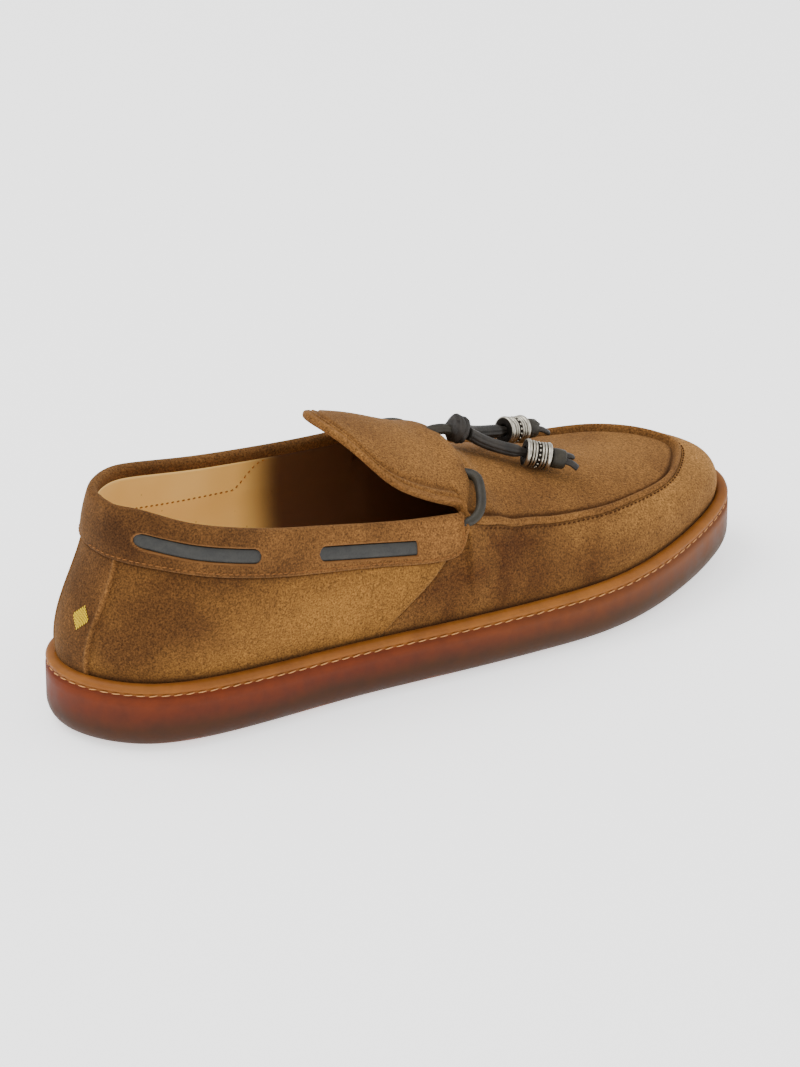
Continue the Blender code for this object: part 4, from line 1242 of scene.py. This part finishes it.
# place / length, across / width, lift off the upper / cord
loops = {
    "lateral": [
        (0.5130, -0.390, -0.90), (0.5215, -0.391, -0.05), (0.5320, -0.373, 0.58),
        (0.5450, -0.327, 0.76), (0.5550, -0.276, 0.66), (0.5608, -0.234, 0.40),
        (0.5595, -0.205, -0.15), (0.5555, -0.190, -0.80),
    ],
    "medial": [
        (0.5130, 0.374, -0.90), (0.5215, 0.376, -0.05), (0.5320, 0.366, 0.58),
        (0.5450, 0.336, 0.76), (0.5550, 0.296, 0.66), (0.5608, 0.262, 0.40), (0.5595, 0.236, -0.15),
        (0.5555, 0.222, -0.80),
    ],
}
stub = [
    (0.5510, 0.0360, -0.40), (0.5575, 0.0352, 0.08), (0.5640, 0.0330, 0.50), (0.5700, 0.0300, 0.84),
    (0.5760, 0.0300, 1.02),
]
knotStart = (0.5696, 0.0297, 1.226)
ends = {
    "near": [
        (0.6033, 0.0115, 1.567), (0.6217, -0.0129, 1.244), (0.6449, -0.0427, 1.148),
        (0.6655, -0.0680, 1.244),
    ],
    "far": [
        (0.6030, 0.0482, 1.592), (0.6210, 0.0591, 1.405), (0.6469, 0.0721, 1.445),
        (0.6700, 0.0811, 1.562),
    ],
}


def topPoint(place, across):
    x, y = place * last["length"], across * last["width"]
    step = 0.0005
    z = topHeight(np.array([x, x + step, x]), np.array([y, y, y + step]))
    return np.array([x, y, z[0]]), unit(np.array([-(z[1] - z[0]) / step, -(z[2] - z[0]) / step, 1.0]))


def route(rows):
    points = []
    for place, across, lift in rows:
        point, normal = topPoint(place, across)
        points.append(point + normal * lift * lace["cord"])
    return points


def tube(name, path, radius, sides=20, squash=1.0, crease=0.0):
    # A round or flattened lace along a path; crease sinks a line along each side
    path = np.asarray(path, float)
    along = unit(np.gradient(path, axis=0))
    side = unit(np.cross(along[0], [0.0, 0.0, 1.0]))
    rings = []
    radii = np.broadcast_to(radius, len(path))
    for point, way, size in zip(path, along, radii):
        side = unit(side - way * np.dot(side, way))
        other = np.cross(way, side)
        angles = np.arange(sides) / sides * 2 * math.pi
        spread = size * (1 - crease * hill(np.abs(np.sin(angles)), 0.36, 0.15))
        ring = point + side * (np.cos(angles) * spread)[:, None]
        ring = ring + other * (np.sin(angles) * spread * squash)[:, None]
        rings.append(ring)
    grid = np.array(rings)
    # each end closes over a smaller ring to its middle
    start, end = [np.broadcast_to(path[i], grid[i].shape) for i in (0, -1)]
    low, high = start + (grid[0] - start) * 0.6, end + (grid[-1] - end) * 0.6
    grid = np.concatenate([start[None], low[None], grid, high[None], end[None]])
    piece = gridPiece(name, grid, wrap=True)
    mergeDoubles(piece)
    return piece


def aside(axis):
    return unit(np.cross(axis, [0.0, 0.0, 1.0]))


def spokes(axis, angles):
    side = aside(axis)
    return side * np.cos(angles)[:, None] + np.cross(axis, side) * np.sin(angles)[:, None]


def turned(name, rows, start, axis, sides=48):
    # Turned round an axis from rows of place along it and radius
    ring = spokes(axis, np.arange(sides) / sides * 2 * math.pi)
    grid = np.array([start + axis * at + ring * radius for at, radius in rows])
    piece = gridPiece(name, grid, wrap=True)
    mergeDoubles(piece)
    return piece


def makeLoops():
    for side in ("lateral", "medial"):
        path = through(route(loops[side]), 72)
        piece = tube(side + "Loop", path, lace["cord"] * lace["loopRadius"], squash=0.86)
        finishPiece(piece, laceLeather, "lace", "lace_loop_" + side)


def beadRows():
    diameter, length, bore = lace["beadDiameter"], lace["beadLength"], lace["strand"] / 2 + 0.0003
    outer, groove = diameter / 2, diameter * 0.43
    rows = [(0.02, bore), (0.0, bore + 0.0006)]
    for low, high, size in (
        (0.0, 0.19, outer), (0.23, 0.31, outer * 0.96), (0.34, 0.42, outer * 0.94),
        (0.60, 0.68, outer * 0.94), (0.71, 0.79, outer * 0.96), (0.83, 1.0, outer),
    ):
        mid, half = (low + high) / 2, (high - low) / 2
        for angle in np.radians(np.linspace(-90, 90, 7)):
            bulge = math.cos(angle)**0.7
            rows.append((mid + half * math.sin(angle), groove + (size - groove) * bulge))
    rows += [(1.0, bore + 0.0006), (0.98, bore), (0.02, bore)]
    return [(at * length, size) for at, size in rows]


def makeBead(name, start, axis, node):
    piece = turned(name, beadRows(), start, axis)
    # grooves are found by how far a point lies from the axis
    places = placesOf(piece) - start
    away = np.linalg.norm(places - np.outer(places @ axis, axis), axis=1)
    diameter = lace["beadDiameter"]
    addValues(piece, "groove", 1 - smooth(away, diameter * 0.435, diameter * 0.46))
    finishPiece(piece, beadMetal, "metal", node)
    circle = start + axis * lace["beadLength"] * 0.51
    circle = circle + spokes(axis, np.linspace(0, 2 * math.pi, 73)) * diameter * 0.445
    return piece, sew(name + "Dots", [circle], beadMetal, "metal", "dots")


def makeKnot(start, axis):
    # A flat strip wound round the lace, over the part where both ends leave
    size, length = lace["knotDiameter"] / 2, lace["knotLength"]
    shares = [
        (0.0, 0.02), (0.0, 0.50), (0.06, 0.70), (0.16, 0.78), (0.20, 0.78), (0.22, 0.93), (0.30, 1.0),
        (0.44, 0.99), (0.49, 0.93), (0.52, 0.90), (0.55, 0.94), (0.62, 1.0), (0.74, 0.97), (0.79, 0.90),
        (0.81, 0.76), (0.90, 0.72), (0.97, 0.60), (1.0, 0.45), (1.0, 0.02),
    ]
    piece = turned("laceKnot", [(at * length, radius * size) for at, radius in shares], start, axis, 40)
    side = aside(axis)
    for vertex in piece.data.vertices:
        place = np.array(vertex.co) - toWorld - start
        at = place @ axis
        spoke = place - axis * at
        around = math.atan2(spoke @ np.cross(axis, side), spoke @ side)
        wobble = 1 + 0.035 * math.sin(3 * around + at * 900) + 0.03 * math.sin(7 * around - at * 1700)
        slant = 0.0007 * math.sin(around + 0.5) * (1 - abs(2 * at / length - 1))
        oval = 1 - 0.06 * math.cos(2 * around)
        vertex.co = start + axis * (at + slant) + spoke * wobble * oval + toWorld
    tail = []
    for share, rise in ((0.30, 0.0036), (0.42, 0.0041), (0.55, 0.0040), (0.68, 0.0036)):
        tail.append(start + axis * (length * share) + side * 0.0008 + np.array([0, 0, rise]))
    strip = tube("knotFlap", through(tail, 12), 0.0016, 12, 0.3)
    finishPiece(strip, knotLeather, "lace")
    finishPiece(piece, knotLeather, "lace", "lace_knot")


def makeTip(name, start, axis, node):
    # The lace's end rolled into a stopper, with two cut tails
    radius, size = lace["tipDiameter"] / 2, lace["tipLength"]
    shares = [
        (0.0, 0.02), (0.0, 0.80), (0.10, 0.97), (0.40, 1.0), (0.74, 0.95), (0.80, 0.86), (0.86, 0.60),
        (0.84, 0.42), (0.88, 0.40), (0.90, 0.02),
    ]
    piece = turned(name, [(at * size, share * radius) for at, share in shares], start, axis, 32)
    finishPiece(piece, laceLeather, "lace", node)
    side = aside(axis)
    for sign, reach, drop in ((1, 0.0044, -0.0012), (-1, 0.0030, 0.0006)):
        base = start + axis * size * 0.72 + side * sign * radius * 0.35
        end = start + axis * (size + reach * 0.75) + side * sign * radius * 0.75 + np.array([0, 0, drop])
        mid = (base + end) / 2 + np.array([0, 0, 0.0007])
        letter = "A" if sign > 0 else "B"
        tail = tube(name + "Tail" + letter, through([base, mid, end], 10), 0.0021, 12, 0.50)
        finishPiece(tail, knotLeather, "lace")
    return piece


def makeLace():
    makeLoops()
    base = route([knotStart])[0]
    hanging = {name: route(rows) for name, rows in ends.items()}
    aim = unit((hanging["near"][0] + hanging["far"][0]) / 2 - base)
    makeKnot(base + aim * (lace["lead"] + last["gap"]), aim)
    piece = tube("laceStub", through(route(stub), 24), lace["strand"] * lace["stubRadius"], 32, 0.8, 0.12)
    finishPiece(piece, laceLeather, "lace", "lace_stub")
    for name, points in hanging.items():
        points = through(points, 24)
        axis = unit(points[-1] - points[-2])
        beadStart = points[-1] + axis * lace["beadStart"]
        strandEnd = beadStart + axis * (lace["beadLength"] + last["gap"])
        path = evenly(np.vstack([points[0] - aim * 0.0012, points, strandEnd + axis * 0.0004]), 0.0006)
        toBead = np.linalg.norm(path - beadStart, axis=1) * np.sign((beadStart - path) @ axis)
        width = lace["strand"] / 2 * (1 + lace["spread"] * smooth(toBead, 0.0, 0.004))
        strand = tube(name + "Strand", path, width, 40, 0.82, 0.15)
        finishPiece(strand, knotLeather, "lace", "lace_end_" + name)
        bead, dots = makeBead(name + "Bead", beadStart, axis, "bead_" + name)
        tip = makeTip(name + "Tip", strandEnd + axis * last["gap"], axis, "lace_tip_" + name)


def makeBars():
    # Flat lace that shows in the windows
    for side, sign in (("lateral", 1), ("medial", -1)):
        for window, (start, end, riseStart, riseEnd, square) in windows.items():
            half = band["windowHalf"] - 0.0001
            along = np.linspace(start * bandLength - 0.0002, end * bandLength + 0.0002, 120)
            off = np.linspace(-1, 1, 15)
            a, o = np.meshgrid(along, off * half, indexing="ij")
            done = (a / bandLength - start) / (end - start)
            way = bandWay(a / bandLength) * sign
            rise = riseStart + (riseEnd - riseStart) * done + o / bandTall(way)
            crown = (1 - (o / half)**4) * 0.0004
            sag = 0.0003 * np.sin(np.clip(done, 0, 1) * math.pi)
            grid = skin(bandPoint, way, rise, band["step"] - 0.0011 + crown + sag)
            piece = gridPiece(side + window.title() + "Bar", grid, flip=True)
            mergeDoubles(piece)
            thicken(piece, 0.0009)
            finishPiece(piece, strapLeather, "lace", f"lace_bar_{side}_{window}")


# Studio
studio = {
    "azimuth": -33.0,
    "elevation": 26.0,
    "distance": 2.0,
    "lens": 178.0,
    "aim": (0.0, 0.0, 0.042),
    "floor": 6.0,            # half its side
    "room": 1.1,
    # name, place, size, power
    "lights": [
        ("key", (-0.9, 0.6, 1.9), 1.6, 36.0),
        ("fill", (-1.2, -1.6, 1.3), 2.0, 18.0),
        ("front", (1.4, -0.8, 1.2), 1.4, 12.0),
    ],
}


def makeStudio():
    size = studio["floor"]
    corners = [(-size, -size, 0), (size, -size, 0), (size, size, 0), (-size, size, 0)]
    floorMesh = bpy.data.meshes.new("floor")
    floorMesh.from_pydata(corners, [], [(0, 1, 2, 3)])
    floor = linked("floor", floorMesh)
    recipe = Recipe("paper")
    floorMesh.materials.append(recipe.finish(
        (0.93, 0.93, 0.93, 1), None, 0.9,
        Specular_IOR_Level=0.1, Emission_Color=(1, 1, 1, 1), Emission_Strength=1.0,
    ))
    azimuth, elevation = math.radians(studio["azimuth"]), math.radians(studio["elevation"])
    level = math.cos(elevation)
    back = mathutils.Vector((math.sin(azimuth) * level, -math.cos(azimuth) * level, math.sin(elevation)))
    aim = mathutils.Vector(studio["aim"])
    lens = bpy.data.cameras.new("view")
    lens.lens = studio["lens"]
    lens.clip_start = 0.05
    camera = linked("view", lens)
    camera.location = aim + back * studio["distance"]
    camera.rotation_euler = back.to_track_quat("Z", "Y").to_euler()
    bpy.context.scene.camera = camera
    for name, place, size, power in studio["lights"]:
        lamp = bpy.data.lights.new(name, "AREA")
        lamp.size = size
        lamp.energy = power
        holder = linked(name, lamp)
        holder.location = place
        holder.rotation_euler = mathutils.Vector(place).to_track_quat("Z", "Y").to_euler()
    world = bpy.data.worlds.new("room")
    world.use_nodes = True
    light = world.node_tree.nodes["Background"].inputs
    light["Color"].default_value = (1, 1, 1, 1)
    light["Strength"].default_value = studio["room"]
    bpy.context.scene.world = world


makeStudio()
makeLace()
print("studio and lace done")
makeSole()
print("sole done")
makePanels()
makeBackStrip()
makeBand()
makeBars()
print("wall and band done")
makeApron()
print("apron and tongue done")
makeLining()
makeInsole()
print("lining done")
